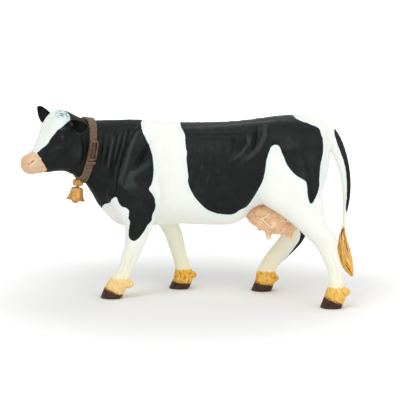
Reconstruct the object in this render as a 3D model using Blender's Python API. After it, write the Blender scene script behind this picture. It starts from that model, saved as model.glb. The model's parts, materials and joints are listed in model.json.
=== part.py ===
"""A toy dairy cow figure, walking, with its head turned to its left and a bell on its collar.

The figure is put together from separately moulded pieces. Two skin halves close round a
moulded core, and the head, ears, eyes, legs, hooves, udder and tail are pegged or seated
in them. The collar strap covers the joint of head and neck, and the bell swings on a pin
in a hanger below the strap. The cow faces -X and stands on z = 0. Its own left is -Y.
"""
import math

import bmesh
import bpy
import numpy as np
from mathutils import Vector

# Driving sizes, in metres
body_length = 0.1000
back_height = 0.0800
barrel_width = 0.0364
rump_place_share = 0.600
stance_width = 0.0250
limb_size = 0.0100
head_turn = math.radians(46.0)
fit_gap = 0.0003
skin_wall = 0.0030
peg_diameter = 0.0030
peg_length = 0.0028
cut_overrun = 0.0020

# The body from rump to muzzle: run forward, share of the head's turn, lean forward in
# degrees, top, bottom, half width, height of the widest place, upper and lower squareness
body_shares = (
    (0.004, 0.00, 0.0, 0.915, 0.760, 0.22, 0.86, 2.0, 2.0),
    (0.022, 0.00, 0.0, 0.950, 0.640, 0.50, 0.83, 2.2, 2.0),
    (0.065, 0.00, 0.0, 0.982, 0.560, 0.68, 0.80, 2.4, 2.1),
    (0.135, 0.00, 0.0, 0.993, 0.525, 0.79, 0.78, 2.6, 2.2),
    (0.215, 0.00, 0.0, 0.988, 0.522, 0.85, 0.75, 2.7, 2.2),
    (0.275, 0.00, 0.0, 0.978, 0.515, 0.88, 0.70, 2.6, 2.3),
    (0.325, 0.00, 0.0, 0.968, 0.490, 0.90, 0.67, 2.6, 2.3),
    (0.365, 0.00, 0.0, 0.961, 0.436, 0.93, 0.64, 2.5, 2.3),
    (0.420, 0.00, 0.0, 0.953, 0.402, 0.97, 0.62, 2.4, 2.4),
    (0.520, 0.00, 0.0, 0.946, 0.396, 1.00, 0.60, 2.3, 2.4),
    (0.640, 0.00, 0.0, 0.943, 0.396, 0.96, 0.60, 2.2, 2.4),
    (0.740, 0.00, 0.0, 0.948, 0.384, 0.85, 0.61, 2.1, 2.4),
    (0.820, 0.00, 0.0, 0.953, 0.370, 0.73, 0.61, 2.0, 2.4),
    (0.880, 0.17, 1.0, 0.953, 0.368, 0.65, 0.62, 2.0, 2.3),
    (0.935, 0.35, 3.0, 0.952, 0.396, 0.58, 0.65, 2.0, 2.2),
    (0.980, 0.50, 6.0, 0.951, 0.480, 0.51, 0.71, 2.1, 2.2),
    (1.020, 0.66, 8.5, 0.951, 0.562, 0.455, 0.74, 2.2, 2.2),
    (1.054, 0.80, 10.0, 0.951, 0.620, 0.425, 0.77, 2.2, 2.2),
    (1.080, 0.90, 10.8, 0.954, 0.650, 0.415, 0.79, 2.2, 2.2),
    (1.110, 1.00, 10.0, 0.966, 0.664, 0.42, 0.81, 2.2, 2.2),
    (1.142, 1.00, 7.0, 0.988, 0.680, 0.43, 0.83, 2.3, 2.2),
    (1.172, 1.00, 3.0, 1.010, 0.688, 0.435, 0.85, 2.5, 2.2),
    (1.200, 1.00, 0.0, 1.012, 0.691, 0.445, 0.86, 2.8, 2.2),
    (1.225, 1.00, 0.0, 0.989, 0.692, 0.445, 0.86, 3.0, 2.3),
    (1.250, 1.00, 0.0, 0.947, 0.690, 0.400, 0.83, 2.9, 2.3),
    (1.275, 1.00, 0.0, 0.892, 0.690, 0.342, 0.79, 2.7, 2.3),
    (1.300, 1.00, 0.0, 0.838, 0.690, 0.300, 0.76, 2.5, 2.3),
    (1.322, 1.00, 0.0, 0.804, 0.690, 0.280, 0.745, 2.4, 2.3),
    (1.344, 1.00, 0.0, 0.792, 0.692, 0.265, 0.74, 2.4, 2.3),
    (1.360, 1.00, 0.0, 0.778, 0.702, 0.220, 0.74, 2.3, 2.2),
    (1.368, 1.00, 0.0, 0.760, 0.716, 0.130, 0.74, 2.0, 2.0),
)
collar_run_share = 1.077
body_ring_count = 62
body_sides = 28
middle_points = 8
rear_wall_share = 0.06
front_wall_share = 0.10

# A limb from its top down: x, y, height, half length and half width of the slice, slope
front_shoulder_shares = (
    (-0.185, 0.190, 0.905, 0.20, 0.12, 0.0),
    (-0.203, 0.250, 0.860, 0.50, 0.30, 0.0),
    (-0.220, 0.285, 0.800, 0.80, 0.44, 0.0),
    (-0.242, 0.315, 0.715, 1.00, 0.56, 0.0),
    (-0.252, 0.335, 0.625, 1.08, 0.63, 0.0),
)
left_front_shares = front_shoulder_shares + (
    (-0.245, 0.368, 0.5375, 1.06, 0.63, 0.0),
    (-0.220, 0.392, 0.4625, 0.86, 0.60, 0.0),
    (-0.210, 0.416, 0.4000, 0.64, 0.52, 0.0),
    (-0.218, 0.440, 0.3375, 0.50, 0.46, 0.0),
    (-0.230, 0.456, 0.2825, 0.42, 0.41, 0.0),
    (-0.245, 0.468, 0.2310, 0.38, 0.38, 0.0),
    (-0.256, 0.476, 0.1875, 0.33, 0.31, 0.0),
    (-0.273, 0.484, 0.1400, 0.34, 0.28, -0.10),
    (-0.288, 0.492, 0.1040, 0.38, 0.32, -0.20),
    (-0.302, 0.496, 0.0720, 0.40, 0.34, -0.35),
    (-0.316, 0.500, 0.0400, 0.38, 0.33, -0.45),
)
right_front_shares = front_shoulder_shares + (
    (-0.232, 0.368, 0.5375, 1.02, 0.63, 0.0),
    (-0.188, 0.392, 0.4625, 0.80, 0.60, 0.0),
    (-0.147, 0.416, 0.4000, 0.60, 0.52, 0.0),
    (-0.123, 0.432, 0.3525, 0.45, 0.45, 0.0),
    (-0.104, 0.444, 0.3000, 0.39, 0.40, 0.0),
    (-0.093, 0.456, 0.2540, 0.37, 0.37, 0.0),
    (-0.079, 0.464, 0.1875, 0.32, 0.31, 0.0),
    (-0.069, 0.472, 0.1440, 0.32, 0.28, 0.0),
    (-0.061, 0.480, 0.1040, 0.36, 0.31, -0.05),
    (-0.060, 0.480, 0.0720, 0.41, 0.34, -0.10),
    (-0.067, 0.480, 0.0375, 0.40, 0.34, -0.15),
)
rear_thigh_shares = (
    (0.455, 0.240, 0.915, 0.40, 0.15, 0.0),
    (0.445, 0.310, 0.870, 0.85, 0.34, 0.0),
    (0.435, 0.380, 0.800, 1.22, 0.54, 0.0),
    (0.428, 0.420, 0.715, 1.42, 0.68, 0.0),
)
left_rear_shares = rear_thigh_shares + (
    (0.430, 0.432, 0.6250, 1.49, 0.72, 0.0),
    (0.450, 0.440, 0.5500, 1.34, 0.69, 0.0),
    (0.493, 0.448, 0.4875, 0.94, 0.61, 0.0),
    (0.530, 0.456, 0.4310, 0.70, 0.53, 0.0),
    (0.570, 0.464, 0.3810, 0.67, 0.46, 0.0),
    (0.594, 0.472, 0.3310, 0.49, 0.40, 0.0),
    (0.608, 0.480, 0.2875, 0.39, 0.36, 0.0),
    (0.626, 0.488, 0.2310, 0.33, 0.31, 0.0),
    (0.638, 0.496, 0.1690, 0.30, 0.28, 0.0),
    (0.643, 0.500, 0.1125, 0.34, 0.31, -0.15),
    (0.642, 0.504, 0.0780, 0.40, 0.34, -0.32),
    (0.634, 0.508, 0.0430, 0.38, 0.34, -0.48),
)
right_rear_shares = rear_thigh_shares + (
    (0.418, 0.432, 0.6250, 1.49, 0.72, 0.0),
    (0.420, 0.440, 0.5500, 1.30, 0.69, 0.0),
    (0.430, 0.448, 0.4875, 1.00, 0.61, 0.0),
    (0.438, 0.460, 0.4310, 0.80, 0.53, 0.0),
    (0.443, 0.472, 0.3750, 0.66, 0.46, 0.0),
    (0.430, 0.480, 0.3250, 0.56, 0.40, 0.0),
    (0.401, 0.496, 0.2690, 0.57, 0.35, 0.0),
    (0.355, 0.520, 0.2000, 0.52, 0.30, 0.0),
    (0.317, 0.544, 0.1375, 0.41, 0.28, 0.0),
    (0.306, 0.556, 0.1000, 0.41, 0.31, -0.08),
    (0.305, 0.564, 0.0700, 0.42, 0.34, -0.15),
    (0.300, 0.568, 0.0430, 0.40, 0.34, -0.20),
)
front_seam_share = 0.3625
rear_seam_share = 0.4100
limb_sides = 18
limb_squareness = 2.2
leg_ring_count = 17

# Hooves, from the coronet down to the sole
hoof_length = 0.0092
hoof_width = 0.0080
hoof_flare_share = 1.07
hoof_step_shares = (0.0, 0.3, 0.6, 0.85, 1.0)
cleft_depth = 0.0016
cleft_start_share = 0.4
cleft_spread = math.radians(15.0)
sole_edge = 0.0005
hoof_forward_share = 0.17
hoof_sides = 20
hoof_peg_diameter = 0.0024
hoof_peg_length = 0.0012

# The tuft over the dewclaws, behind each fetlock
tuft_row_from_end = 3
tuft_length = 0.0036
tuft_width = 0.0046
tuft_height = 0.0034
tuft_back = 0.0028
tuft_drop = 0.0012

# The udder from front to rear: x, top, bottom, half width
udder_width = 0.0170
udder_shares = (
    (0.236, 0.462, 0.446, 0.22),
    (0.262, 0.496, 0.408, 0.66),
    (0.298, 0.518, 0.386, 0.92),
    (0.340, 0.532, 0.364, 1.03),
    (0.382, 0.534, 0.354, 1.05),
    (0.422, 0.524, 0.360, 0.97),
    (0.452, 0.485, 0.376, 0.76),
    (0.474, 0.455, 0.404, 0.42),
)
udder_ring_count = 12
udder_sides = 20
udder_squareness = 2.5
teat_diameter = 0.0026
teat_length = 0.0034
teat_sides = 10
teat_profile_shares = ((1.10, 0.50), (0.22, 0.50), (-0.23, 0.42), (-0.58, 0.44), (-0.78, 0.26))
teat_shares = ((0.343, -0.26), (0.292, 0.26), (0.432, -0.26), (0.415, 0.26))

# The tail from its root down: x, y, height, radius
tail_size = 0.0060
tail_shares = (
    (0.560, 0.0, 0.930, 0.38),
    (0.592, 0.0, 0.918, 0.48),
    (0.618, 0.0, 0.868, 0.54),
    (0.640, 0.0, 0.800, 0.52),
    (0.656, 0.0, 0.725, 0.45),
    (0.665, 0.0, 0.650, 0.36),
    (0.667, 0.0, 0.570, 0.26),
    (0.663, 0.0, 0.490, 0.17),
    (0.657, 0.0, 0.400, 0.11),
)
tail_ring_count = 18
tail_sides = 10
switch_shares = (
    (0.6565, 0.0, 0.393, 0.13),
    (0.655, 0.0, 0.352, 0.27),
    (0.659, 0.0, 0.300, 0.42),
    (0.667, 0.0, 0.245, 0.47),
    (0.677, 0.0, 0.200, 0.40),
    (0.689, 0.0, 0.162, 0.24),
    (0.698, 0.0, 0.138, 0.08),
)
switch_ring_count = 12
switch_sides = 28
switch_strands = 7
switch_strand_share = 0.13
switch_twist = math.radians(70.0)
switch_flatness_share = 0.75

# Ears: along, width and thickness in shares from the sunk root to the tip. Aims are ahead,
# outward and up. Places on the head are run, side and height in shares
ear_length = 0.0114
ear_width = 0.0073
ear_thickness = 0.0024
ear_cup_depth = 0.0009
ear_profile_shares = (
    (-0.22, 0.30, 0.80),
    (0.00, 0.34, 0.80),
    (0.16, 0.66, 0.72),
    (0.42, 1.00, 0.62),
    (0.70, 0.84, 0.50),
    (0.89, 0.48, 0.40),
    (1.00, 0.10, 0.25),
)
ear_ring_count = 10
ear_sides = 12
ear_root_share = (1.173, 0.38, 0.945)
left_ear_aim = (-0.14, 1.0, 0.02)
right_ear_aim = (0.42, 1.0, 0.64)
left_ear_roll = math.radians(22.0)
right_ear_roll = math.radians(0.0)

# Eyes and nostrils
eye_diameter = 0.0030
eye_place_share = (1.219, 0.395, 0.880)
nostril_length = 0.0018
nostril_height = 0.0009
nostril_place_share = (1.347, 0.235, 0.745)

# The collar, its buckle and keeper
strap_width = 0.0038
strap_thickness = 0.0009
strap_sides = 48
plate_rows = 7
plate_fine_sides = 160
buckle_length = 0.0085
buckle_width = 0.0048
buckle_thickness = 0.0007
buckle_bar = 0.0009
buckle_height_share = 0.80
keeper_length = 0.0016

# The bell as shares of its mouth's radius and of its height, its hanger, pin and clapper
bell_mouth_diameter = 0.0086
bell_height = 0.0058
bell_wall = 0.0005
bell_shares = (
    (0.44, 0.0),
    (0.58, 0.06),
    (0.62, 0.20),
    (0.67, 0.40),
    (0.74, 0.62),
    (0.85, 0.83),
    (1.0, 1.0),
)
bell_sides = 24
bell_lean = math.radians(11.0)
bell_eye_diameter = 0.0015
bell_eye_thickness = 0.0010
bell_neck_share = 0.75
pin_diameter = 0.0007
pin_clearance = 0.0001
pin_overhang = 0.0003
cheek_gap = 0.0002
cheek_thickness = 0.0006
arc_points = 11
bridge_ledge = 0.0002
bridge_thickness = 0.0005
bridge_slope_drop = 0.0003
bridge_rows = 4
hanger_length = 0.0019
hanger_forward = 0.0006
clapper_diameter = 0.0036
clapper_drop = 0.0015
clapper_stem_share = 0.28

# Colours are red, green, blue; then roughness and metallic
finishes = {
    "black_coat": ((0.017, 0.019, 0.018), 0.42, 0.0),
    "white_coat": ((0.86, 0.86, 0.78), 0.45, 0.0),
    "core_grey": ((0.32, 0.32, 0.31), 0.60, 0.0),
    "hoof_brown": ((0.045, 0.024, 0.022), 0.40, 0.0),
    "udder_pink": ((0.75, 0.43, 0.25), 0.45, 0.0),
    "switch_ochre": ((0.80, 0.46, 0.12), 0.50, 0.0),
    "eye_black": ((0.008, 0.007, 0.006), 0.10, 0.0),
    "strap_brown": ((0.15, 0.085, 0.045), 0.55, 0.0),
    "buckle_red": ((0.26, 0.10, 0.05), 0.45, 0.0),
    "bell_gold": ((0.72, 0.36, 0.08), 0.35, 0.6),
}


def clear_scene():
    """Removes every object, so the model starts from nothing."""
    for item in list(bpy.data.objects):
        bpy.data.objects.remove(item, do_unlink=True)


def finish_of(item, finish):
    """Gives an object its own material."""
    colour, roughness, metallic = finishes[finish]
    material = bpy.data.materials.new(item.name + "_" + finish)
    material.use_nodes = True
    shader = material.node_tree.nodes["Principled BSDF"]
    shader.inputs["Base Color"].default_value = (*colour, 1.0)
    shader.inputs["Roughness"].default_value = roughness
    shader.inputs["Metallic"].default_value = metallic
    item.data.materials.append(material)
    item.data.shade_smooth()
    item.data.set_sharp_from_angle(angle=math.radians(35.0))


def object_from(name, vertices, faces):
    """Makes an object from points and faces, with its faces turned outwards."""
    mesh = bpy.data.meshes.new(name)
    mesh.from_pydata([tuple(point) for point in vertices], [], faces)
    shape = bmesh.new()
    shape.from_mesh(mesh)
    bmesh.ops.recalc_face_normals(shape, faces=shape.faces)
    if shape.calc_volume(signed=True) < 0:
        bmesh.ops.reverse_faces(shape, faces=shape.faces)
    shape.to_mesh(mesh)
    shape.free()
    item = bpy.data.objects.new(name, mesh)
    bpy.context.scene.collection.objects.link(item)
    return item


def loft(name, rings):
    """Joins closed rings with quads and closes both ends with a fan."""
    rings = np.asarray(rings)
    count, sides, _ = rings.shape
    vertices = list(rings.reshape(-1, 3))
    faces = []
    for row in range(count - 1):
        for side in range(sides):
            here = row * sides + side
            beside = row * sides + (side + 1) % sides
            faces.append((here, beside, beside + sides, here + sides))
    for row in (0, count - 1):
        centre = len(vertices)
        vertices.append(rings[row].mean(axis=0))
        for side in range(sides):
            faces.append((row * sides + side, row * sides + (side + 1) % sides, centre))
    return object_from(name, vertices, faces)


def closed_band(name, rings):
    """Joins closed rings with quads and the last ring to the first, as a tube round a loop."""
    rings = np.asarray(rings)
    count, sides, _ = rings.shape
    faces = []
    for row in range(count):
        for side in range(sides):
            here = row * sides + side
            beside = row * sides + (side + 1) % sides
            onward = (row + 1) % count * sides
            faces.append((here, beside, onward + (side + 1) % sides, onward + side))
    return object_from(name, rings.reshape(-1, 3), faces)


def smooth_rows(rows, places):
    """Rows at the given places, counted in rows, on a Catmull-Rom curve through all rows."""
    rows = np.asarray(rows, dtype=float)
    places = np.asarray(places, dtype=float)
    index = np.clip(places.astype(int), 0, len(rows) - 2)
    t = (places - index)[:, None]
    before = rows[np.maximum(index - 1, 0)]
    start = rows[index]
    end = rows[index + 1]
    after = rows[np.minimum(index + 2, len(rows) - 1)]
    rise = (end - before) * t
    bend = (2.0 * before - 5.0 * start + 4.0 * end - after) * t ** 2
    twist = (3.0 * start - before - 3.0 * end + after) * t ** 3
    return 0.5 * (2.0 * start + rise + bend + twist)


def place_of(column, value):
    """The place, counted in rows, where a steadily rising or falling column has a value."""
    column = np.asarray(column, dtype=float)
    fine = np.linspace(0.0, len(column) - 1.0, 40 * len(column))
    values = smooth_rows(column[:, None], fine)[:, 0]
    return float(fine[np.argmin(np.abs(values - value))])


def round_outline(squareness_up, squareness_low, sides):
    """A closed outline of unit half width and unit half height, squarer for a larger power."""
    angle = np.arange(sides) / sides * 2.0 * math.pi
    power = np.where(np.sin(angle) >= 0.0, 2.0 / squareness_up, 2.0 / squareness_low)
    across = np.sign(np.cos(angle)) * np.abs(np.cos(angle)) ** power
    upward = np.sign(np.sin(angle)) * np.abs(np.sin(angle)) ** power
    return across, upward


def spine_path():
    """Fine points along the spine's path in plan: run, x, y, turn."""
    table = np.asarray(body_shares)
    fine = np.linspace(0.0, len(table) - 1.0, 40 * len(table))
    rows = smooth_rows(table, fine)
    run = rows[:, 0] * body_length
    turn = rows[:, 1] * head_turn
    step = np.diff(run, prepend=run[0])
    x = rump_place_share * body_length - run[0] - np.cumsum(np.cos(turn) * step)
    y = -np.cumsum(np.sin(turn) * step)
    return run, x, y, turn


def body_frame(run_share):
    """The spine's centre in plan, its forward direction and its left direction at a run."""
    run, x, y, turn = spine_path()
    here = run_share * body_length
    yaw = np.interp(here, run, turn)
    centre = np.array([np.interp(here, run, x), np.interp(here, run, y), 0.0])
    ahead = np.array([-math.cos(yaw), -math.sin(yaw), 0.0])
    left = np.array([math.sin(yaw), -math.cos(yaw), 0.0])
    return centre, ahead, left


def body_row(run_share):
    """The body's section values at a run."""
    table = np.asarray(body_shares)
    return smooth_rows(table, [place_of(table[:, 0], run_share)])[0]


def body_ring(run_share, inset, half=None, sides=body_sides):
    """The body's outline at a run, drawn in by an inset. A half closes along the middle."""
    row = body_row(run_share)
    centre, ahead, left = body_frame(run_share)
    lean = math.radians(row[2])
    top = row[3] * back_height - inset
    bottom = row[4] * back_height + inset
    half_width = row[5] * barrel_width / 2.0 - inset
    widest = row[6] * back_height
    across, upward = round_outline(row[7], row[8], sides)
    if half is not None:
        keep = np.round(across * half, 6) >= 0.0
        order = np.argsort(upward[keep])
        across = across[keep][order]
        upward = upward[keep][order]
    height = np.where(upward >= 0.0, widest + (top - widest) * upward, widest + (widest - bottom) * upward)
    sideways = across * half_width
    if half is not None:
        seam = half * fit_gap / 2.0
        sideways = np.where(sideways * half < fit_gap / 2.0, seam, sideways)
        middle = np.linspace(height[-1], height[0], middle_points)[1:-1]
        height = np.concatenate([height, middle])
        sideways = np.concatenate([sideways, np.full(len(middle), seam)])
    forward = (widest - height) * math.tan(lean)
    return centre + np.outer(forward, ahead) + np.outer(sideways, left) + np.outer(height, (0.0, 0.0, 1.0))


def body_rings(first_share, last_share, inset, half=None, sides=body_sides):
    """The body's outlines between two runs, closer together where the rows are."""
    runs = np.asarray(body_shares)[:, 0]
    fine = smooth_rows(runs[:, None], np.linspace(0.0, len(runs) - 1.0, body_ring_count))[:, 0]
    least_step = 0.3 * (fine[1] - fine[0])
    inner = fine[(fine > first_share + least_step) & (fine < last_share - least_step)]
    shares = [first_share, *inner, last_share]
    return [body_ring(share, inset, half, sides) for share in shares]


def limb_rings(shares, side, first_share, last_share, count=None):
    """Slices of a limb between two heights. The lowest slices slope like the coronet."""
    table = np.asarray(shares)
    start = place_of(table[:, 2], first_share)
    end = place_of(table[:, 2], last_share)
    steps = count or 2 * math.ceil(end - start) + 2
    rows = smooth_rows(table, np.linspace(start, end, steps))
    rows[0, 2] = first_share
    rows[-1, 2] = last_share
    across, upward = round_outline(limb_squareness, limb_squareness, limb_sides)
    rings = []
    for row in rows:
        along = across * row[3] * limb_size
        x = row[0] * body_length + along
        y = side * row[1] * stance_width + upward * row[4] * limb_size
        z = row[2] * back_height + row[5] * along
        rings.append(np.stack([x, y, z], axis=1))
    return rings


def cylinder(name, centre, axis, radius, length, sides=16):
    """A cylinder from a centre along an axis, reaching its length forwards."""
    axis = np.asarray(axis, dtype=float)
    axis = axis / np.linalg.norm(axis)
    helper = np.array([0.0, 0.0, 1.0]) if abs(axis[2]) < 0.9 else np.array([1.0, 0.0, 0.0])
    first = np.cross(axis, helper)
    first = first / np.linalg.norm(first)
    second = np.cross(axis, first)
    angle = np.arange(sides) / sides * 2.0 * math.pi
    ring = np.outer(np.cos(angle) * radius, first) + np.outer(np.sin(angle) * radius, second)
    centre = np.asarray(centre, dtype=float)
    return loft(name, [centre + ring, centre + axis * length + ring])


def ellipsoid(name, centre, axes, radii, rows=7, sides=12):
    """A closed ellipsoid whose axes are given as three directions."""
    latitudes = np.linspace(-0.5, 0.5, rows + 2)[1:-1] * math.pi
    angle = np.arange(sides) / sides * 2.0 * math.pi
    rings = []
    for latitude in latitudes:
        ring = np.outer(np.cos(angle) * math.cos(latitude) * radii[0], axes[0])
        ring = ring + np.outer(np.sin(angle) * math.cos(latitude) * radii[1], axes[1])
        rings.append(np.asarray(centre) + ring + math.sin(latitude) * radii[2] * np.asarray(axes[2]))
    return loft(name, rings)


def combine(item, tool, operation):
    """Joins a tool to an object or cuts it out, and applies the result."""
    modifier = item.modifiers.new(operation.lower(), "BOOLEAN")
    modifier.operation = operation
    modifier.solver = "EXACT"
    modifier.object = tool
    bpy.context.view_layer.update()
    evaluated = item.evaluated_get(bpy.context.evaluated_depsgraph_get())
    mesh = bpy.data.meshes.new_from_object(evaluated)
    item.modifiers.clear()
    old = item.data
    item.data = mesh
    bpy.data.meshes.remove(old)
    mesh.name = item.name


def drop(*tools):
    """Removes helper objects that are no longer needed."""
    for tool in tools:
        bpy.data.objects.remove(tool, do_unlink=True)


def limb_peg(name, shares, side, seam_share, grow):
    """The peg that holds a leg in its shoulder or thigh, or its socket when it grows."""
    table = np.asarray(shares)
    row = smooth_rows(table, [place_of(table[:, 2], seam_share)])[0]
    seam = seam_share * back_height
    foot = (row[0] * body_length, side * row[1] * stance_width, seam - peg_length)
    return cylinder(name, foot, (0.0, 0.0, 1.0), peg_diameter / 2.0 + grow, 2.0 * peg_length + grow)


def udder_loft(name, grow):
    """The udder's bag, swollen by an amount for its pocket."""
    places = np.linspace(0.0, len(udder_shares) - 1.0, udder_ring_count)
    across, upward = round_outline(udder_squareness, udder_squareness, udder_sides)
    rows = smooth_rows(udder_shares, places)
    rings = []
    for number, row in enumerate(rows):
        ends = {0: -grow, udder_ring_count - 1: grow}
        x = row[0] * body_length + ends.get(number, 0.0)
        middle = (row[1] + row[2]) / 2.0 * back_height
        half_height = (row[1] - row[2]) / 2.0 * back_height + grow
        y = across * (row[3] * udder_width / 2.0 + grow)
        rings.append(np.stack([np.full(udder_sides, x), y, middle + upward * half_height], axis=1))
    return loft(name, rings)


def make_torso():
    """Two skin halves with the upper limbs on them, hollow for the core, and the core."""
    first = body_shares[0][0]
    cavity_first = first + rear_wall_share
    cavity_last = collar_run_share - front_wall_share
    end_gap = fit_gap / body_length
    cavity = loft("cavity", body_rings(cavity_first, cavity_last, skin_wall))
    core_rings = body_rings(cavity_first + end_gap, cavity_last - end_gap, skin_wall + fit_gap)
    core = loft("torso_core", core_rings)
    recess = neck_plug("neck_recess", fit_gap)
    pocket = udder_loft("udder_pocket", fit_gap)
    tail_hole = tail_piece("tail_hole", fit_gap)
    limbs = {
        1: (("front", left_front_shares, front_seam_share), ("rear", left_rear_shares, rear_seam_share)),
        -1: (("front", right_front_shares, front_seam_share), ("rear", right_rear_shares, rear_seam_share)),
    }
    names = {1: "torso_left_shell", -1: "torso_right_shell"}
    for half, rows in limbs.items():
        shell = loft(names[half], body_rings(first, collar_run_share, 0.0, half))
        for label, shares, seam_share in rows:
            top = shares[0][2]
            lower = seam_share + fit_gap / 2.0 / back_height
            stub = loft(label + "_stub", limb_rings(shares, -half, top, lower))
            combine(shell, stub, "UNION")
            drop(stub)
        for tool in (pocket, recess, tail_hole, cavity):
            combine(shell, tool, "DIFFERENCE")
        for label, shares, seam_share in rows:
            socket = limb_peg(label + "_socket", shares, -half, seam_share, fit_gap)
            combine(shell, socket, "DIFFERENCE")
            drop(socket)
        finish_of(shell, "black_coat")
    drop(cavity, recess, pocket, tail_hole)
    finish_of(core, "core_grey")


def neck_plug(name, grow):
    """The plug on the head that reaches back into the neck, or its recess when it grows."""
    back = collar_run_share - (skin_wall + grow) / body_length
    ahead = collar_run_share + skin_wall / body_length
    runs = np.linspace(back, ahead, 4)
    return loft(name, [body_ring(run, skin_wall - grow) for run in runs])


def head_point(shares):
    """A place on the head from its run, side and height shares, with the head's directions."""
    centre, ahead, left = body_frame(shares[0])
    place = centre + left * shares[1] * barrel_width / 2.0
    place = place + np.array([0.0, 0.0, shares[2] * back_height])
    return place, ahead, left


def ear_frame(side):
    """An ear's root, its direction out to the tip, its width direction and its face."""
    aim = left_ear_aim if side > 0 else right_ear_aim
    roll = left_ear_roll if side > 0 else right_ear_roll
    place, ahead, left = head_point((ear_root_share[0], side * ear_root_share[1], ear_root_share[2]))
    out = ahead * aim[0] + left * side * aim[1] + np.array([0.0, 0.0, aim[2]])
    out = out / np.linalg.norm(out)
    face = ahead - out * np.dot(ahead, out)
    face = face / np.linalg.norm(face)
    wide = np.cross(out, face)
    rolled_face = face * math.cos(roll) + wide * math.sin(roll)
    rolled_wide = wide * math.cos(roll) - face * math.sin(roll)
    return place, out, rolled_wide, rolled_face


def ear_loft(name, side, grow):
    """A leaf-shaped ear cupped to the front with its root in the head, or its socket when it grows."""
    place, out, wide, face = ear_frame(side)
    places = np.linspace(0.0, len(ear_profile_shares) - 1.0, ear_ring_count)
    profile = smooth_rows(ear_profile_shares, places)
    angle = np.arange(ear_sides) / ear_sides * 2.0 * math.pi
    rings = []
    for number, (along, width_share, thickness_share) in enumerate(profile):
        across = np.cos(angle) * (width_share * ear_width / 2.0 + grow)
        thick = np.sin(angle) * (thickness_share * ear_thickness / 2.0 + grow)
        cup = 2.0 * ear_cup_depth * (2.0 * across / ear_width) ** 2
        deeper = grow if number == 0 else 0.0
        middle = place + out * (along * ear_length - deeper)
        rings.append(middle + np.outer(across, wide) + np.outer(thick + cup, face))
    return loft(name, rings)


def eye_ball(name, side, grow):
    """An eyeball, or its socket when it grows."""
    shares = (eye_place_share[0], side * eye_place_share[1], eye_place_share[2])
    place, ahead, left = head_point(shares)
    radius = eye_diameter / 2.0 + grow
    up = np.array([0.0, 0.0, 1.0])
    return ellipsoid(name, place, (ahead, up, left * side), (radius, radius, radius))


def nostril(side):
    """The cutter for one nostril."""
    shares = (nostril_place_share[0], side * nostril_place_share[1], nostril_place_share[2])
    place, ahead, left = head_point(shares)
    radii = (nostril_length / 2.0, nostril_height / 2.0, nostril_length / 2.0)
    return ellipsoid("nostril", place, (ahead, np.array([0.0, 0.0, 1.0]), left * side), radii)


def make_head():
    """The head with its plug, its sockets for ears and eyes, and its nostrils."""
    start = collar_run_share + fit_gap / body_length
    head = loft("head", body_rings(start, body_shares[-1][0], 0.0))
    plug = neck_plug("plug", 0.0)
    combine(head, plug, "UNION")
    drop(plug)
    for side in (1, -1):
        eye_socket = eye_ball("eye_socket", side, fit_gap)
        ear_socket = ear_loft("ear_socket", side, fit_gap)
        for tool in (eye_socket, ear_socket, nostril(side)):
            combine(head, tool, "DIFFERENCE")
            drop(tool)
    finish_of(head, "black_coat")
    for side, word in ((1, "left"), (-1, "right")):
        finish_of(eye_ball(word + "_eye", side, 0.0), "eye_black")
        finish_of(ear_loft(word + "_ear", side, 0.0), "black_coat")


def hoof_rings(row, side):
    """A cloven hoof from the leg's last slice down to a flat sole, notched at the toe."""
    angle = np.arange(hoof_sides) / hoof_sides * 2.0 * math.pi
    across, upward = round_outline(limb_squareness, limb_squareness, hoof_sides)
    notch = np.exp(-((np.abs(angle - math.pi) / cleft_spread) ** 2))
    centre_x = row[0] * body_length
    centre_y = side * row[1] * stance_width
    centre_z = row[2] * back_height
    sole_x = centre_x - hoof_forward_share * hoof_length
    rings = []
    for step in hoof_step_shares:
        edge = sole_edge if step == hoof_step_shares[-1] else 0.0
        half_long = (1.0 - step) * row[3] * limb_size * hoof_flare_share + step * hoof_length / 2.0 - edge
        half_wide = (1.0 - step) * row[4] * limb_size * hoof_flare_share + step * hoof_width / 2.0 - edge
        long = across * half_long + notch * cleft_depth * min(1.0, cleft_start_share + step)
        x = (1.0 - step) * centre_x + step * sole_x + long
        y = centre_y + upward * half_wide
        z = (centre_z - fit_gap + row[5] * long) * (1.0 - step)
        rings.append(np.stack([x, y, np.maximum(z, 0.0)], axis=1))
    return rings


def leg_tuft(row, side):
    """The rounded tuft behind a fetlock."""
    x = row[0] * body_length + tuft_back
    centre = (x, side * row[1] * stance_width, row[2] * back_height - tuft_drop)
    axes = ((1.0, 0.0, 0.0), (0.0, 1.0, 0.0), (0.0, 0.0, 1.0))
    return ellipsoid("tuft", centre, axes, (tuft_length / 2.0, tuft_width / 2.0, tuft_height / 2.0))


def make_leg(word, shares, side, seam_share, pocket):
    """A leg from its seam down to the coronet, with its pegs, and its hoof."""
    upper = seam_share - fit_gap / 2.0 / back_height
    last = shares[-1][2]
    leg = loft(word + "_leg", limb_rings(shares, side, upper, last, leg_ring_count))
    peg = limb_peg("peg", shares, side, seam_share, 0.0)
    combine(leg, peg, "UNION")
    drop(peg)
    row = np.asarray(shares[-1])
    foot = (row[0] * body_length, side * row[1] * stance_width, row[2] * back_height)
    tuft = leg_tuft(np.asarray(shares[-tuft_row_from_end]), side)
    combine(leg, tuft, "UNION")
    drop(tuft)
    down = (0.0, 0.0, -1.0)
    radius = hoof_peg_diameter / 2.0
    raised = (foot[0], foot[1], foot[2] + hoof_peg_length)
    peg = cylinder("peg", raised, down, radius, 2.0 * hoof_peg_length)
    combine(leg, peg, "UNION")
    drop(peg)
    combine(leg, pocket, "DIFFERENCE")
    finish_of(leg, "white_coat")
    hoof = loft(word + "_hoof", hoof_rings(row, side))
    socket = cylinder("socket", raised, down, radius + fit_gap, 2.0 * hoof_peg_length + fit_gap)
    combine(hoof, socket, "DIFFERENCE")
    drop(socket)
    finish_of(hoof, "hoof_brown")


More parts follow.
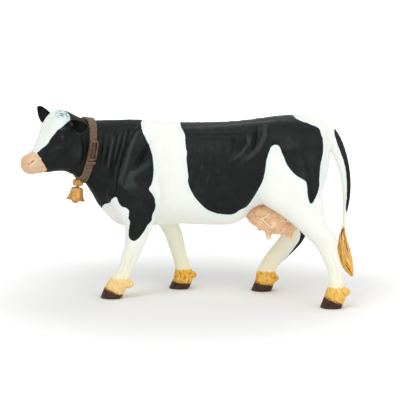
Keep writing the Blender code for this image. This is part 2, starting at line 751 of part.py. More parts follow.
def make_legs():
    """Four legs with their hooves."""
    pocket = udder_loft("udder_pocket", fit_gap)
    make_leg("left_front", left_front_shares, -1, front_seam_share, pocket)
    make_leg("right_front", right_front_shares, 1, front_seam_share, pocket)
    make_leg("left_rear", left_rear_shares, -1, rear_seam_share, pocket)
    make_leg("right_rear", right_rear_shares, 1, rear_seam_share, pocket)
    drop(pocket)


def teat(x_share, y_share):
    """One teat, rooted in the udder's underside."""
    table = np.asarray(udder_shares)
    row = smooth_rows(table, [place_of(table[:, 0], x_share)])[0]
    bottom = row[2] * back_height
    angle = np.arange(teat_sides) / teat_sides * 2.0 * math.pi
    rings = []
    for height_share, radius_share in teat_profile_shares:
        x = x_share * body_length + np.cos(angle) * radius_share * teat_diameter
        y = y_share * udder_width + np.sin(angle) * radius_share * teat_diameter
        z = np.full(teat_sides, bottom + height_share * teat_length)
        rings.append(np.stack([x, y, z], axis=1))
    return loft("teat", rings)


def make_udder():
    """The udder with its four teats."""
    udder = udder_loft("udder", 0.0)
    for x_share, y_share in teat_shares:
        piece = teat(x_share, y_share)
        combine(udder, piece, "UNION")
        drop(piece)
    finish_of(udder, "udder_pink")


def tail_rings(shares, count, sides, grow=0.0, strands=0):
    """Rings square to the tail's path. Strands swell the outline and wind round it."""
    rows = smooth_rows(shares, np.linspace(0.0, len(shares) - 1.0, count))
    path = np.stack([rows[:, 0] * body_length, rows[:, 1] * body_length, rows[:, 2] * back_height], axis=1)
    along = np.gradient(path, axis=0)
    along = along / np.linalg.norm(along, axis=1)[:, None]
    side = np.array([0.0, 1.0, 0.0])
    angle = np.arange(sides) / sides * 2.0 * math.pi
    rings = []
    for number in range(count):
        radius = rows[number, 3] * tail_size + grow
        turn = switch_twist * number / count
        flat = switch_flatness_share if strands else 1.0
        swell = 1.0 + (switch_strand_share * np.cos(strands * angle + turn) if strands else 0.0)
        normal = np.cross(along[number], side)
        ring = np.outer(np.cos(angle) * radius * swell, normal)
        ring = ring + np.outer(np.sin(angle) * radius * swell * flat, side)
        rings.append(path[number] + ring)
    return rings


def tail_piece(name, grow):
    """The tail from its root in the rump down to the switch."""
    return loft(name, tail_rings(tail_shares, tail_ring_count, tail_sides, grow))


def make_tail():
    """The tail and its hair switch, which starts a gap below the tail's end."""
    finish_of(tail_piece("tail", 0.0), "white_coat")
    rings = tail_rings(switch_shares, switch_ring_count, switch_sides, 0.0, switch_strands)
    finish_of(loft("tail_switch", rings), "switch_ochre")


def strap_loop(run_offset, outset, sides=strap_sides):
    """A loop round the neck at a distance along it from the collar's middle."""
    run = collar_run_share + run_offset / body_length
    return body_ring(run, -outset, None, sides)


def make_collar():
    """The strap, with a buckle plate and a keeper on its left side."""
    half = strap_width / 2.0
    inner = fit_gap
    outer = fit_gap + strap_thickness
    corners = ((-half, inner), (half, inner), (half, outer), (-half, outer))
    loops = [strap_loop(offset, outset) for offset, outset in corners]
    finish_of(closed_band("collar_strap", np.stack(loops, axis=1)), "strap_brown")
    buckle_height = buckle_height_share * back_height
    keeper_height = buckle_height - buckle_length / 2.0 - fit_gap - keeper_length / 2.0
    make_strap_plate("collar_buckle", buckle_height, buckle_length, buckle_width, buckle_bar)
    make_strap_plate("collar_keeper", keeper_height, keeper_length, buckle_width, 0.0)


def make_strap_plate(name, middle, length, width, frame_bar):
    """A plate that follows the strap's left side. A frame bar leaves a window in it."""
    plate = loft(name, strap_plate_rings(middle, length, width, 0.0))
    if frame_bar > 0.0:
        room = (length - 2.0 * frame_bar, width - 2.0 * frame_bar)
        window = loft("window", strap_plate_rings(middle, *room, cut_overrun))
        combine(plate, window, "DIFFERENCE")
        drop(window)
    finish_of(plate, "buckle_red")


def strap_plate_rings(middle, length, width, overrun):
    """Rectangular slices of a plate, stacked up the strap's left side."""
    inner = 2.0 * fit_gap + strap_thickness - overrun
    outer = 2.0 * fit_gap + strap_thickness + buckle_thickness + overrun
    half = width / 2.0
    _, _, left = body_frame(collar_run_share)
    rings = []
    for height in np.linspace(middle - length / 2.0, middle + length / 2.0, plate_rows):
        corners = []
        for offset, outset in ((-half, inner), (half, inner), (half, outer), (-half, outer)):
            loop = strap_loop(offset, outset, plate_fine_sides)
            near = loop[(loop - loop.mean(axis=0)) @ left > 0.0]
            near = near[np.argsort(near[:, 2])]
            corners.append([np.interp(height, near[:, 2], near[:, axis]) for axis in range(3)])
        rings.append(np.asarray(corners))
    return rings


def strap_lowest(run_offset):
    """The lowest place of the strap's outside at a distance ahead of its middle."""
    edges = []
    for edge in (-strap_width / 2.0, strap_width / 2.0):
        loop = strap_loop(edge, fit_gap + strap_thickness)
        edges.append(loop[np.argmin(loop[:, 2])])
    share = run_offset / strap_width + 0.5
    return edges[0] * (1.0 - share) + edges[1] * share


def hanger_bridge():
    """The bridge that follows the strap's underside over the pin."""
    pivot, ahead, left = bell_pivot()
    lowest = np.array([strap_lowest(offset) for offset in (-strap_width / 2.0, strap_width / 2.0)])
    reach = (lowest - pivot) @ ahead
    outer = bell_eye_thickness / 2.0 + cheek_gap + cheek_thickness + bridge_ledge
    foot = pivot[2] + bell_eye_diameter / 2.0 + fit_gap
    rings = []
    for distance in np.linspace(-hanger_length / 2.0, hanger_length / 2.0, bridge_rows):
        top = np.interp(distance, reach, lowest[:, 2]) - fit_gap
        ring = []
        for side, height in ((-outer, foot), (outer, foot), (outer, top), (-outer, top)):
            corner = pivot + ahead * distance + left * side
            ring.append((corner[0], corner[1], height))
        rings.append(ring)
    return loft("bell_hanger", rings)


def bell_pivot():
    """The pin's middle, below the strap, with the directions ahead and left."""
    _, ahead, left = body_frame(collar_run_share)
    below = bell_eye_diameter / 2.0 + bridge_thickness + bridge_slope_drop + 2.0 * fit_gap
    return strap_lowest(hanger_forward) - np.array([0.0, 0.0, below]), ahead, left


def bell_axes():
    """The pin's middle and the bell's own directions: ahead, left and up, leaned forward."""
    pivot, ahead, left = bell_pivot()
    up = np.array([0.0, 0.0, 1.0])
    bell_up = up * math.cos(bell_lean) - ahead * math.sin(bell_lean)
    bell_ahead = ahead * math.cos(bell_lean) + up * math.sin(bell_lean)
    return pivot, (bell_ahead, left, bell_up)


def bell_outline():
    """The bell's outer and inner outlines as radius and height from the pin, top to mouth."""
    crown = -(bell_eye_diameter / 2.0 + fit_gap)
    radius = bell_mouth_diameter / 2.0
    outside = [(radius * wide, crown - bell_height * down) for wide, down in bell_shares]
    inside = [(wide - bell_wall, height) for wide, height in outside[2:]]
    return outside, inside


def clapper_stem(name, grow):
    """The clapper's stem up into the bell's crown, or its socket when it grows."""
    pivot, axes = bell_axes()
    outside, _ = bell_outline()
    low = outside[-1][1] - clapper_drop + clapper_diameter / 2.0
    high = (outside[0][1] + outside[2][1]) / 2.0 + grow
    radius = clapper_stem_share * clapper_diameter / 2.0 + grow
    return cylinder(name, pivot + axes[2] * low, axes[2], radius, high - low, 12)


def bell_eye(foot):
    """The eye the bell hangs by: round over the pin and narrower down to its foot in the crown."""
    pivot, (ahead, left, up) = bell_axes()
    radius = bell_eye_diameter / 2.0
    angle = np.linspace(0.0, math.pi, arc_points)
    along = np.concatenate([np.cos(angle), [-bell_neck_share, bell_neck_share]]) * radius
    height = np.concatenate([np.sin(angle) * radius, [foot, foot]])
    outline = pivot + np.outer(along, ahead) + np.outer(height, up)
    half_eye = bell_eye_thickness / 2.0
    return loft("eye", [outline + left * reach for reach in (-half_eye, half_eye)])


def make_bell():
    """The bell with the eye it hangs by, and the clapper seated in its crown."""
    pivot, axes = bell_axes()
    ahead, left, up = axes
    outside, inside = bell_outline()
    angle = np.arange(bell_sides) / bell_sides * 2.0 * math.pi
    spokes = np.outer(np.cos(angle), ahead) + np.outer(np.sin(angle), left)
    outline = outside + inside[::-1]
    bell = loft("bell", [pivot + spokes * radius + up * height for radius, height in outline])
    eye = bell_eye(outside[0][1] - bell_wall)
    combine(bell, eye, "UNION")
    hole_radius = pin_diameter / 2.0 + pin_clearance
    hole = cylinder("hole", pivot - left * cut_overrun, left, hole_radius, 2.0 * cut_overrun)
    combine(bell, hole, "DIFFERENCE")
    socket = clapper_stem("socket", fit_gap)
    combine(bell, socket, "DIFFERENCE")
    drop(eye, hole, socket)
    finish_of(bell, "bell_gold")
    radius = clapper_diameter / 2.0
    middle = pivot + up * (outside[-1][1] - clapper_drop + radius)
    clapper = ellipsoid("bell_clapper", middle, axes, (radius, radius, radius))
    stem = clapper_stem("stem", 0.0)
    combine(clapper, stem, "UNION")
    drop(stem)
    finish_of(clapper, "bell_gold")


def hanger_cheek(side):
    """One cheek beside the bell's eye: round below the pin and straight up into the bridge."""
    pivot, ahead, left = bell_pivot()
    radius = bell_eye_diameter / 2.0
    top = radius + fit_gap + bridge_thickness / 2.0
    angle = np.linspace(-math.pi, 0.0, arc_points)
    along = np.concatenate([np.cos(angle) * radius, [radius, -radius]])
    height = np.concatenate([np.sin(angle) * radius, [top, top]])
    outline = np.outer(along, ahead) + np.outer(height, (0.0, 0.0, 1.0))
    inner = bell_eye_thickness / 2.0 + cheek_gap
    outer = inner + cheek_thickness
    return loft("cheek", [pivot + outline + left * side * reach for reach in (inner, outer)])


def make_hanger():
    """A bridge seated under the strap with two cheeks, and the pin through them."""
    pivot, _, left = bell_pivot()
    hanger = hanger_bridge()
    for side in (1, -1):
        cheek = hanger_cheek(side)
        combine(hanger, cheek, "UNION")
        drop(cheek)
    hole_radius = pin_diameter / 2.0 + pin_clearance
    hole = cylinder("hole", pivot - left * cut_overrun, left, hole_radius, 2.0 * cut_overrun)
    combine(hanger, hole, "DIFFERENCE")
    drop(hole)
    finish_of(hanger, "bell_gold")
    reach = bell_eye_thickness / 2.0 + cheek_gap + cheek_thickness + pin_overhang
    pin = cylinder("bell_pin", pivot - left * reach, left, pin_diameter / 2.0, 2.0 * reach)
    finish_of(pin, "bell_gold")


def pivot_moving_pieces():
    """Puts the origins of the swinging pieces on the pin's axis."""
    pivot, _, _ = bell_pivot()
    for name in ("bell", "bell_clapper"):
        item = bpy.data.objects[name]
        for vertex in item.data.vertices:
            vertex.co -= Vector(pivot)
        item.location = Vector(pivot)


def stand_at_origin():
    """Moves the figure so that the middle of its footprint is the origin."""
    bpy.context.view_layer.update()
    low = np.full(3, np.inf)
    high = np.full(3, -np.inf)
    for item in bpy.data.objects:
        for vertex in item.data.vertices:
            place = np.asarray(item.matrix_world @ vertex.co)
            low = np.minimum(low, place)
            high = np.maximum(high, place)
    shift = Vector((-(low[0] + high[0]) / 2.0, -(low[1] + high[1]) / 2.0, -low[2]))
    for item in bpy.data.objects:
        item.location += shift
    bpy.context.view_layer.update()
    pivot, ahead, left = bell_pivot()
    print("size", np.round(high - low, 5), "shift", [round(value, 6) for value in shift])
    print("bell pin at", np.round(pivot + np.asarray(shift), 6), "axis", np.round(left, 5))


def main():
    """Makes every piece of the figure."""
    clear_scene()
    make_torso()
    make_head()
    make_legs()
    make_udder()
    make_tail()
    make_collar()
    make_hanger()
    make_bell()
    pivot_moving_pieces()
    stand_at_origin()


main()
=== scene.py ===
"""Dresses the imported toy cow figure: a sculpted and painted coat, horn, hair, leather and brass.

Shapes are worked out where the figure was designed and moved to the frame's place by one step.
Straight coordinates follow the spine: run from the rump forwards, side to the cow's own left,
and height. The cow faces -X and its left side faces -Y.
"""
import json
import math

import bmesh
import bpy
import numpy as np
from bpy.props import FloatProperty, FloatVectorProperty, PointerProperty
from bpy.types import Operator, Panel, PropertyGroup
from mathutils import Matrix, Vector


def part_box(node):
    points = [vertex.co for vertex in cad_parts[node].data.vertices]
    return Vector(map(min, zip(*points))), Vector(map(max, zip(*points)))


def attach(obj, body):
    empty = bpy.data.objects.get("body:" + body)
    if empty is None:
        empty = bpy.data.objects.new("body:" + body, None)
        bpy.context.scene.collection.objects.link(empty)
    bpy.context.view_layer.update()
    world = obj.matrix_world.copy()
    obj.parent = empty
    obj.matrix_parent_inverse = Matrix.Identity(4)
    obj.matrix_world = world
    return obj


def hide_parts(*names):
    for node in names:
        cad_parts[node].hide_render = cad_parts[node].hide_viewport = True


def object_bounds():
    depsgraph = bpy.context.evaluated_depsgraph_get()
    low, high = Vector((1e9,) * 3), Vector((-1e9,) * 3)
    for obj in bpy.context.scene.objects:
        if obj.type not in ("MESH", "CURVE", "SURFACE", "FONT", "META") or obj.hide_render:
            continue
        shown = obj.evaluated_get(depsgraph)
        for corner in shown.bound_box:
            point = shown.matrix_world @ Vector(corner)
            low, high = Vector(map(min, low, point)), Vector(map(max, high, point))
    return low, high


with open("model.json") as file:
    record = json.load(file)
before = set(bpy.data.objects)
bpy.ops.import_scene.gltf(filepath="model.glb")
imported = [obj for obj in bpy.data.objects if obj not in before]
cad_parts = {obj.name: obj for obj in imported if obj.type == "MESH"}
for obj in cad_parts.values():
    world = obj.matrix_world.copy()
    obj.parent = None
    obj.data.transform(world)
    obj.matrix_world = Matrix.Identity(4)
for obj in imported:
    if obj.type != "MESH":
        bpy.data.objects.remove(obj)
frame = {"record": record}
solid_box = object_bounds()

bl_info = {
    "name": "Toy cow figure",
    "version": (1, 0, 0),
    "blender": (4, 5, 0),
    "location": "View3D > Sidebar > Cow figure",
    "description": "Dresses the packed cow figure with its sculpted and painted pieces",
    "category": "Object",
}

MM = 0.001

# Driving sizes of the solids, in metres
body_length = 0.1000
back_height = 0.0800
barrel_width = 0.0364
rump_place_share = 0.600
stance_width = 0.0250
limb_size = 0.0100
head_turn = math.radians(46.0)
fit_gap = 0.0003

# The body from rump to muzzle: run forward, share of the head's turn, lean forward in
# degrees, top, bottom, half width, height of the widest place, upper and lower squareness
body_shares = (
    (0.004, 0.00, 0.0, 0.915, 0.760, 0.22, 0.86, 2.0, 2.0),
    (0.022, 0.00, 0.0, 0.950, 0.640, 0.50, 0.83, 2.2, 2.0),
    (0.065, 0.00, 0.0, 0.982, 0.560, 0.68, 0.80, 2.4, 2.1),
    (0.135, 0.00, 0.0, 0.993, 0.525, 0.79, 0.78, 2.6, 2.2),
    (0.215, 0.00, 0.0, 0.988, 0.522, 0.85, 0.75, 2.7, 2.2),
    (0.275, 0.00, 0.0, 0.978, 0.515, 0.88, 0.70, 2.6, 2.3),
    (0.325, 0.00, 0.0, 0.968, 0.490, 0.90, 0.67, 2.6, 2.3),
    (0.365, 0.00, 0.0, 0.961, 0.436, 0.93, 0.64, 2.5, 2.3),
    (0.420, 0.00, 0.0, 0.953, 0.402, 0.97, 0.62, 2.4, 2.4),
    (0.520, 0.00, 0.0, 0.946, 0.396, 1.00, 0.60, 2.3, 2.4),
    (0.640, 0.00, 0.0, 0.943, 0.396, 0.96, 0.60, 2.2, 2.4),
    (0.740, 0.00, 0.0, 0.948, 0.384, 0.85, 0.61, 2.1, 2.4),
    (0.820, 0.00, 0.0, 0.953, 0.370, 0.73, 0.61, 2.0, 2.4),
    (0.880, 0.17, 1.0, 0.953, 0.368, 0.65, 0.62, 2.0, 2.3),
    (0.935, 0.35, 3.0, 0.952, 0.396, 0.58, 0.65, 2.0, 2.2),
    (0.980, 0.50, 6.0, 0.951, 0.480, 0.51, 0.71, 2.1, 2.2),
    (1.020, 0.66, 8.5, 0.951, 0.562, 0.455, 0.74, 2.2, 2.2),
    (1.054, 0.80, 10.0, 0.951, 0.620, 0.425, 0.77, 2.2, 2.2),
    (1.080, 0.90, 10.8, 0.954, 0.650, 0.415, 0.79, 2.2, 2.2),
    (1.110, 1.00, 10.0, 0.966, 0.664, 0.42, 0.81, 2.2, 2.2),
    (1.142, 1.00, 7.0, 0.988, 0.680, 0.43, 0.83, 2.3, 2.2),
    (1.172, 1.00, 3.0, 1.010, 0.688, 0.435, 0.85, 2.5, 2.2),
    (1.200, 1.00, 0.0, 1.012, 0.691, 0.445, 0.86, 2.8, 2.2),
    (1.225, 1.00, 0.0, 0.989, 0.692, 0.445, 0.86, 3.0, 2.3),
    (1.250, 1.00, 0.0, 0.947, 0.690, 0.400, 0.83, 2.9, 2.3),
    (1.275, 1.00, 0.0, 0.892, 0.690, 0.342, 0.79, 2.7, 2.3),
    (1.300, 1.00, 0.0, 0.838, 0.690, 0.300, 0.76, 2.5, 2.3),
    (1.322, 1.00, 0.0, 0.804, 0.690, 0.280, 0.745, 2.4, 2.3),
    (1.344, 1.00, 0.0, 0.792, 0.692, 0.265, 0.74, 2.4, 2.3),
    (1.360, 1.00, 0.0, 0.778, 0.702, 0.220, 0.74, 2.3, 2.2),
    (1.368, 1.00, 0.0, 0.760, 0.716, 0.130, 0.74, 2.0, 2.0),
)
collar_run_share = 1.077
collar_overlap = 0.0008

# A limb from its top down: x, y, height, half length and half width of the slice, slope
front_shoulder_shares = (
    (-0.185, 0.190, 0.905, 0.20, 0.12, 0.0),
    (-0.203, 0.250, 0.860, 0.50, 0.30, 0.0),
    (-0.220, 0.285, 0.800, 0.80, 0.44, 0.0),
    (-0.242, 0.315, 0.715, 1.00, 0.56, 0.0),
    (-0.252, 0.335, 0.625, 1.08, 0.63, 0.0),
)
left_front_shares = front_shoulder_shares + (
    (-0.245, 0.368, 0.5375, 1.06, 0.63, 0.0),
    (-0.220, 0.392, 0.4625, 0.86, 0.60, 0.0),
    (-0.210, 0.416, 0.4000, 0.64, 0.52, 0.0),
    (-0.218, 0.440, 0.3375, 0.50, 0.46, 0.0),
    (-0.230, 0.456, 0.2825, 0.42, 0.41, 0.0),
    (-0.245, 0.468, 0.2310, 0.38, 0.38, 0.0),
    (-0.256, 0.476, 0.1875, 0.33, 0.31, 0.0),
    (-0.273, 0.484, 0.1400, 0.34, 0.28, -0.10),
    (-0.288, 0.492, 0.1040, 0.38, 0.32, -0.20),
    (-0.302, 0.496, 0.0720, 0.40, 0.34, -0.35),
    (-0.316, 0.500, 0.0400, 0.38, 0.33, -0.45),
)
right_front_shares = front_shoulder_shares + (
    (-0.232, 0.368, 0.5375, 1.02, 0.63, 0.0),
    (-0.188, 0.392, 0.4625, 0.80, 0.60, 0.0),
    (-0.147, 0.416, 0.4000, 0.60, 0.52, 0.0),
    (-0.123, 0.432, 0.3525, 0.45, 0.45, 0.0),
    (-0.104, 0.444, 0.3000, 0.39, 0.40, 0.0),
    (-0.093, 0.456, 0.2540, 0.37, 0.37, 0.0),
    (-0.079, 0.464, 0.1875, 0.32, 0.31, 0.0),
    (-0.069, 0.472, 0.1440, 0.32, 0.28, 0.0),
    (-0.061, 0.480, 0.1040, 0.36, 0.31, -0.05),
    (-0.060, 0.480, 0.0720, 0.41, 0.34, -0.10),
    (-0.067, 0.480, 0.0375, 0.40, 0.34, -0.15),
)
rear_thigh_shares = (
    (0.455, 0.240, 0.915, 0.40, 0.15, 0.0),
    (0.445, 0.310, 0.870, 0.85, 0.34, 0.0),
    (0.435, 0.380, 0.800, 1.22, 0.54, 0.0),
    (0.428, 0.420, 0.715, 1.42, 0.68, 0.0),
)
left_rear_shares = rear_thigh_shares + (
    (0.430, 0.432, 0.6250, 1.49, 0.72, 0.0),
    (0.450, 0.440, 0.5500, 1.34, 0.69, 0.0),
    (0.493, 0.448, 0.4875, 0.94, 0.61, 0.0),
    (0.530, 0.456, 0.4310, 0.70, 0.53, 0.0),
    (0.570, 0.464, 0.3810, 0.67, 0.46, 0.0),
    (0.594, 0.472, 0.3310, 0.49, 0.40, 0.0),
    (0.608, 0.480, 0.2875, 0.39, 0.36, 0.0),
    (0.626, 0.488, 0.2310, 0.33, 0.31, 0.0),
    (0.638, 0.496, 0.1690, 0.30, 0.28, 0.0),
    (0.643, 0.500, 0.1125, 0.34, 0.31, -0.15),
    (0.642, 0.504, 0.0780, 0.40, 0.34, -0.32),
    (0.634, 0.508, 0.0430, 0.38, 0.34, -0.48),
)
right_rear_shares = rear_thigh_shares + (
    (0.418, 0.432, 0.6250, 1.49, 0.72, 0.0),
    (0.420, 0.440, 0.5500, 1.30, 0.69, 0.0),
    (0.430, 0.448, 0.4875, 1.00, 0.61, 0.0),
    (0.438, 0.460, 0.4310, 0.80, 0.53, 0.0),
    (0.443, 0.472, 0.3750, 0.66, 0.46, 0.0),
    (0.430, 0.480, 0.3250, 0.56, 0.40, 0.0),
    (0.401, 0.496, 0.2690, 0.57, 0.35, 0.0),
    (0.355, 0.520, 0.2000, 0.52, 0.30, 0.0),
    (0.317, 0.544, 0.1375, 0.41, 0.28, 0.0),
    (0.306, 0.556, 0.1000, 0.41, 0.31, -0.08),
    (0.305, 0.564, 0.0700, 0.42, 0.34, -0.15),
    (0.300, 0.568, 0.0430, 0.40, 0.34, -0.20),
)
limb_squareness = 2.2
front_seam_share = 0.3625
rear_seam_share = 0.4100

# Legs: word in the node's name, shares, side with the cow's left as 1
legs = (
    ("left_front", left_front_shares, 1),
    ("right_front", right_front_shares, -1),
    ("left_rear", left_rear_shares, 1),
    ("right_rear", right_rear_shares, -1),
)

# The tuft over the dewclaws: row from the leg's end, size, step back and down
tuft_row_from_end = 3
tuft_radii = (0.0021, 0.0024, 0.0015)
tuft_back = 0.0037
tuft_drop = 0.0022

# Hooves, from the coronet down to the sole
hoof_length = 0.0092
hoof_width = 0.0080
hoof_flare_share = 1.07
cleft_depth = 0.0016
cleft_start_share = 0.4
cleft_spread = math.radians(15.0)
sole_edge = 0.0005
hoof_forward_share = 0.17

# The udder from front to rear: x, top, bottom, half width, and its teats: x, y
udder_width = 0.0170
udder_shares = (
    (0.236, 0.462, 0.446, 0.22),
    (0.262, 0.496, 0.408, 0.66),
    (0.298, 0.518, 0.386, 0.92),
    (0.340, 0.532, 0.364, 1.03),
    (0.382, 0.534, 0.354, 1.05),
    (0.422, 0.524, 0.360, 0.97),
    (0.452, 0.485, 0.376, 0.76),
    (0.474, 0.455, 0.404, 0.42),
)
teat_diameter = 0.0026
teat_length = 0.0034
teat_profile_shares = ((1.10, 0.50), (0.22, 0.50), (-0.23, 0.42), (-0.58, 0.44), (-0.78, 0.26))
teat_shares = ((0.343, -0.26), (0.292, 0.26), (0.432, -0.26), (0.415, 0.26))

# The tail and its hair from the root down: x, y, height, radius
tail_size = 0.0060
tail_shares = (
    (0.560, 0.0, 0.920, 0.36),
    (0.588, 0.0, 0.906, 0.43),
    (0.611, 0.0, 0.862, 0.47),
    (0.633, 0.0, 0.798, 0.455),
    (0.652, 0.0, 0.725, 0.395),
    (0.663, 0.0, 0.650, 0.335),
    (0.667, 0.0, 0.570, 0.26),
    (0.663, 0.0, 0.490, 0.17),
    (0.657, 0.0, 0.400, 0.11),
)
switch_shares = (
    (0.6565, 0.0, 0.393, 0.13),
    (0.655, 0.0, 0.352, 0.27),
    (0.659, 0.0, 0.300, 0.42),
    (0.667, 0.0, 0.245, 0.47),
    (0.677, 0.0, 0.200, 0.40),
    (0.689, 0.0, 0.162, 0.24),
    (0.698, 0.0, 0.138, 0.08),
)
# The painted tail runs on into its hair
tail_tip_share = (0.6550, 0.0, 0.374, 0.10)

# Ears: along, width and thickness in shares, aims ahead, outward and up
ear_length = 0.0114
ear_width = 0.0073
ear_thickness = 0.0024
ear_cup_depth = 0.0009
ear_profile_shares = (
    (-0.22, 0.30, 0.80),
    (0.00, 0.34, 0.80),
    (0.16, 0.66, 0.72),
    (0.42, 1.00, 0.62),
    (0.70, 0.84, 0.50),
    (0.89, 0.48, 0.40),
    (1.00, 0.10, 0.25),
)
ear_root_share = (1.173, 0.38, 0.945)
ear_aims = {1: (-0.14, 1.0, 0.02), -1: (0.42, 1.0, 0.64)}
ear_rolls = {1: math.radians(22.0), -1: 0.0}
eyeball_diameter = 0.0027
eye_place_share = (1.219, 0.395, 0.880)

# The collar
strap_width = 0.0038
strap_thickness = 0.0009
strap_inside = -0.00015
strap_slim_share = 0.62
strap_shift = 0.0005
strap_sag = 0.0003
strap_slim_heights = (51.0, 58.0)
buckle_length = 0.0085
buckle_width = 0.0048
buckle_thickness = 0.0007
buckle_bar = 0.0009
buckle_height_share = 0.80
tongue_share = 0.33
keeper_length = 0.0016

# The bell, its hanger, pin and clapper
bell_mouth_diameter = 0.0086
bell_height = 0.0055
bell_wall = 0.0005
bell_shares = (
    (0.44, 0.0), (0.58, 0.06), (0.62, 0.20), (0.67, 0.40), (0.74, 0.62), (0.85, 0.83), (1.0, 1.0),
)
# The bell's grooves: depth in millimetres and share of its height. Its dome: share of the crown's
# radius and rise in millimetres. Its lip: share of the wall and drop. The foot of its eye
bell_grooves = ((0.09, 0.80), (0.07, 0.14))
bell_groove_width = 0.030
bell_dome = ((0.40, 0.29), (0.62, 0.25), (0.84, 0.16), (0.95, 0.08))
bell_lip = ((0.3, 0.09), (0.8, 0.06))
bell_foot = ((-0.62, -0.72), (0.62, -0.72), (0.80, -1.25), (-0.80, -1.25))
bell_lean = math.radians(11.0)
bell_eye_diameter = 0.0015
bell_eye_thickness = 0.0010
pin_diameter = 0.0007
pin_clearance = 0.0001
pin_overhang = 0.0003
pin_head_radius = 0.52 * MM
axis_gap = 0.02 * MM
cheek_gap = 0.0002
cheek_thickness = 0.0006
band_length = 0.0038
band_slant = 0.16
band_cover = 0.2 * MM
cheek_root = 0.4 * MM
cheek_toe = 0.08 * MM
front_foot = 0.0
rear_foot = -0.0002
clapper_diameter = 0.0036
clapper_drop = 0.0015
clapper_stem_share = 0.28

# The photograph's view: turn to the side, rise, distance, lens and where the frame's middle lies.
# The offsets of that middle are in pixels
view_turn = math.radians(11.0)
view_rise = math.radians(9.0)
view_distance = 0.600
lens_mm = 125.0
sensor_mm = 36.0
frame_pixels = 400.0
view_middle_height = 0.041
middle_offset_right = 8.4
middle_offset_down = 1.7
pixels_per_metre = 2315.0


def curve_rows(rows, places):
    """Rows at places counted in rows, on a Catmull-Rom curve through all rows."""
    rows = np.asarray(rows, dtype=float)
    places = np.asarray(places, dtype=float)
    index = np.clip(places.astype(int), 0, len(rows) - 2)
    t = (places - index)[:, None]
    before = rows[np.maximum(index - 1, 0)]
    start = rows[index]
    end = rows[index + 1]
    after = rows[np.minimum(index + 2, len(rows) - 1)]
    rise = (end - before) * t
    bend = (2.0 * before - 5.0 * start + 4.0 * end - after) * t ** 2
    twist = (3.0 * start - before - 3.0 * end + after) * t ** 3
    return 0.5 * (2.0 * start + rise + bend + twist)


def spaced_rows(shares, count):
    """A table's smooth curve at evenly spaced places from its first row to its last."""
    return curve_rows(shares, np.linspace(0.0, len(shares) - 1.0, count))


def fine_rows(shares, per_row=40):
    """A table's rows on their smooth curve, many to each row."""
    return spaced_rows(shares, per_row * len(shares))


def rows_where(shares, column, values):
    """All columns where one steadily changing column has the given values."""
    fine = fine_rows(shares)
    fine = fine[np.argsort(fine[:, column], kind="stable")]
    return np.stack([np.interp(values, fine[:, column], fine[:, k]) for k in range(fine.shape[1])], axis=1)


def spine():
    """Fine points along the spine in plan: run, x, y and turn, where each step goes along the turn."""
    fine = fine_rows(body_shares)
    run = fine[:, 0] * body_length
    turn = fine[:, 1] * head_turn
    step = np.diff(run, prepend=run[0])
    x = rump_place_share * body_length - run[0] - np.cumsum(np.cos(turn) * step)
    y = -np.cumsum(np.sin(turn) * step)
    return run, x, y, turn


def spine_frame(runs):
    """The spine's place, its direction ahead and its direction to the left at each run."""
    run, x, y, turn = spine()
    yaw = np.interp(runs, run, turn)
    flat = np.zeros_like(yaw)
    centre = np.stack([np.interp(runs, run, x), np.interp(runs, run, y), flat], axis=-1)
    beyond = np.where(runs > run[-1], runs - run[-1], np.where(runs < run[0], runs - run[0], 0.0))
    ahead = np.stack([-np.cos(yaw), -np.sin(yaw), flat], axis=-1)
    left = np.stack([np.sin(yaw), -np.cos(yaw), flat], axis=-1)
    return centre + ahead * beyond[..., None], ahead, left


def place_from_straight(straight):
    """Places of straight coordinates: the spine's place plus side times left, at the height."""
    centre, _, left = spine_frame(straight[:, 0])
    places = centre + left * straight[:, 1:2]
    places[:, 2] = straight[:, 2]
    return places


points_at_once = 20000


def straight_from_place(places):
    """Straight coordinates of places: the nearest spine point in plan, then the leftover along it."""
    run, x, y, turn = spine()
    result = np.empty_like(places)
    for first in range(0, len(places), points_at_once):
        chosen = slice(first, first + points_at_once)
        part = places[chosen]
        gap = (part[:, 0:1] - x) ** 2 + (part[:, 1:2] - y) ** 2
        near = np.argmin(gap, axis=1)
        dx = part[:, 0] - x[near]
        dy = part[:, 1] - y[near]
        result[chosen, 0] = run[near] - dx * np.cos(turn[near]) - dy * np.sin(turn[near])
        result[chosen, 1] = dx * np.sin(turn[near]) - dy * np.cos(turn[near])
        result[chosen, 2] = part[:, 2]
    return result


def squircle(angle, power_up, power_low):
    """A closed outline: signed powers of cosine and sine, squarer for a larger number."""
    power = np.where(np.sin(angle) >= 0.0, 2.0 / power_up, 2.0 / power_low)
    across = np.sign(np.cos(angle)) * np.abs(np.cos(angle)) ** power
    upward = np.sign(np.sin(angle)) * np.abs(np.sin(angle)) ** power
    return across, upward


def circle(sides):
    """Angles once round."""
    return np.arange(sides) / sides * 2.0 * math.pi


def body_surface(runs, outset, sides):
    """Outlines carried along the spine: half width times across, and a height above or below the
    widest place times upward, sheared forward by the lean."""
    row = rows_where(body_shares, 0, runs / body_length)[:, :, None]
    across, upward = squircle(circle(sides)[None, :], row[:, 7], row[:, 8])
    top = row[:, 3] * back_height + outset
    bottom = row[:, 4] * back_height - outset
    widest = row[:, 6] * back_height
    height = np.where(upward >= 0.0, widest + (top - widest) * upward, widest + (widest - bottom) * upward)
    sideways = across * (row[:, 5] * barrel_width / 2.0 + outset)
    forward = (widest - height) * np.tan(np.radians(row[:, 2]))
    centre, ahead, left = spine_frame(runs)
    grid = centre[:, None, :] + forward[..., None] * ahead[:, None, :]
    grid = grid + sideways[..., None] * left[:, None, :]
    grid[..., 2] = height
    return grid


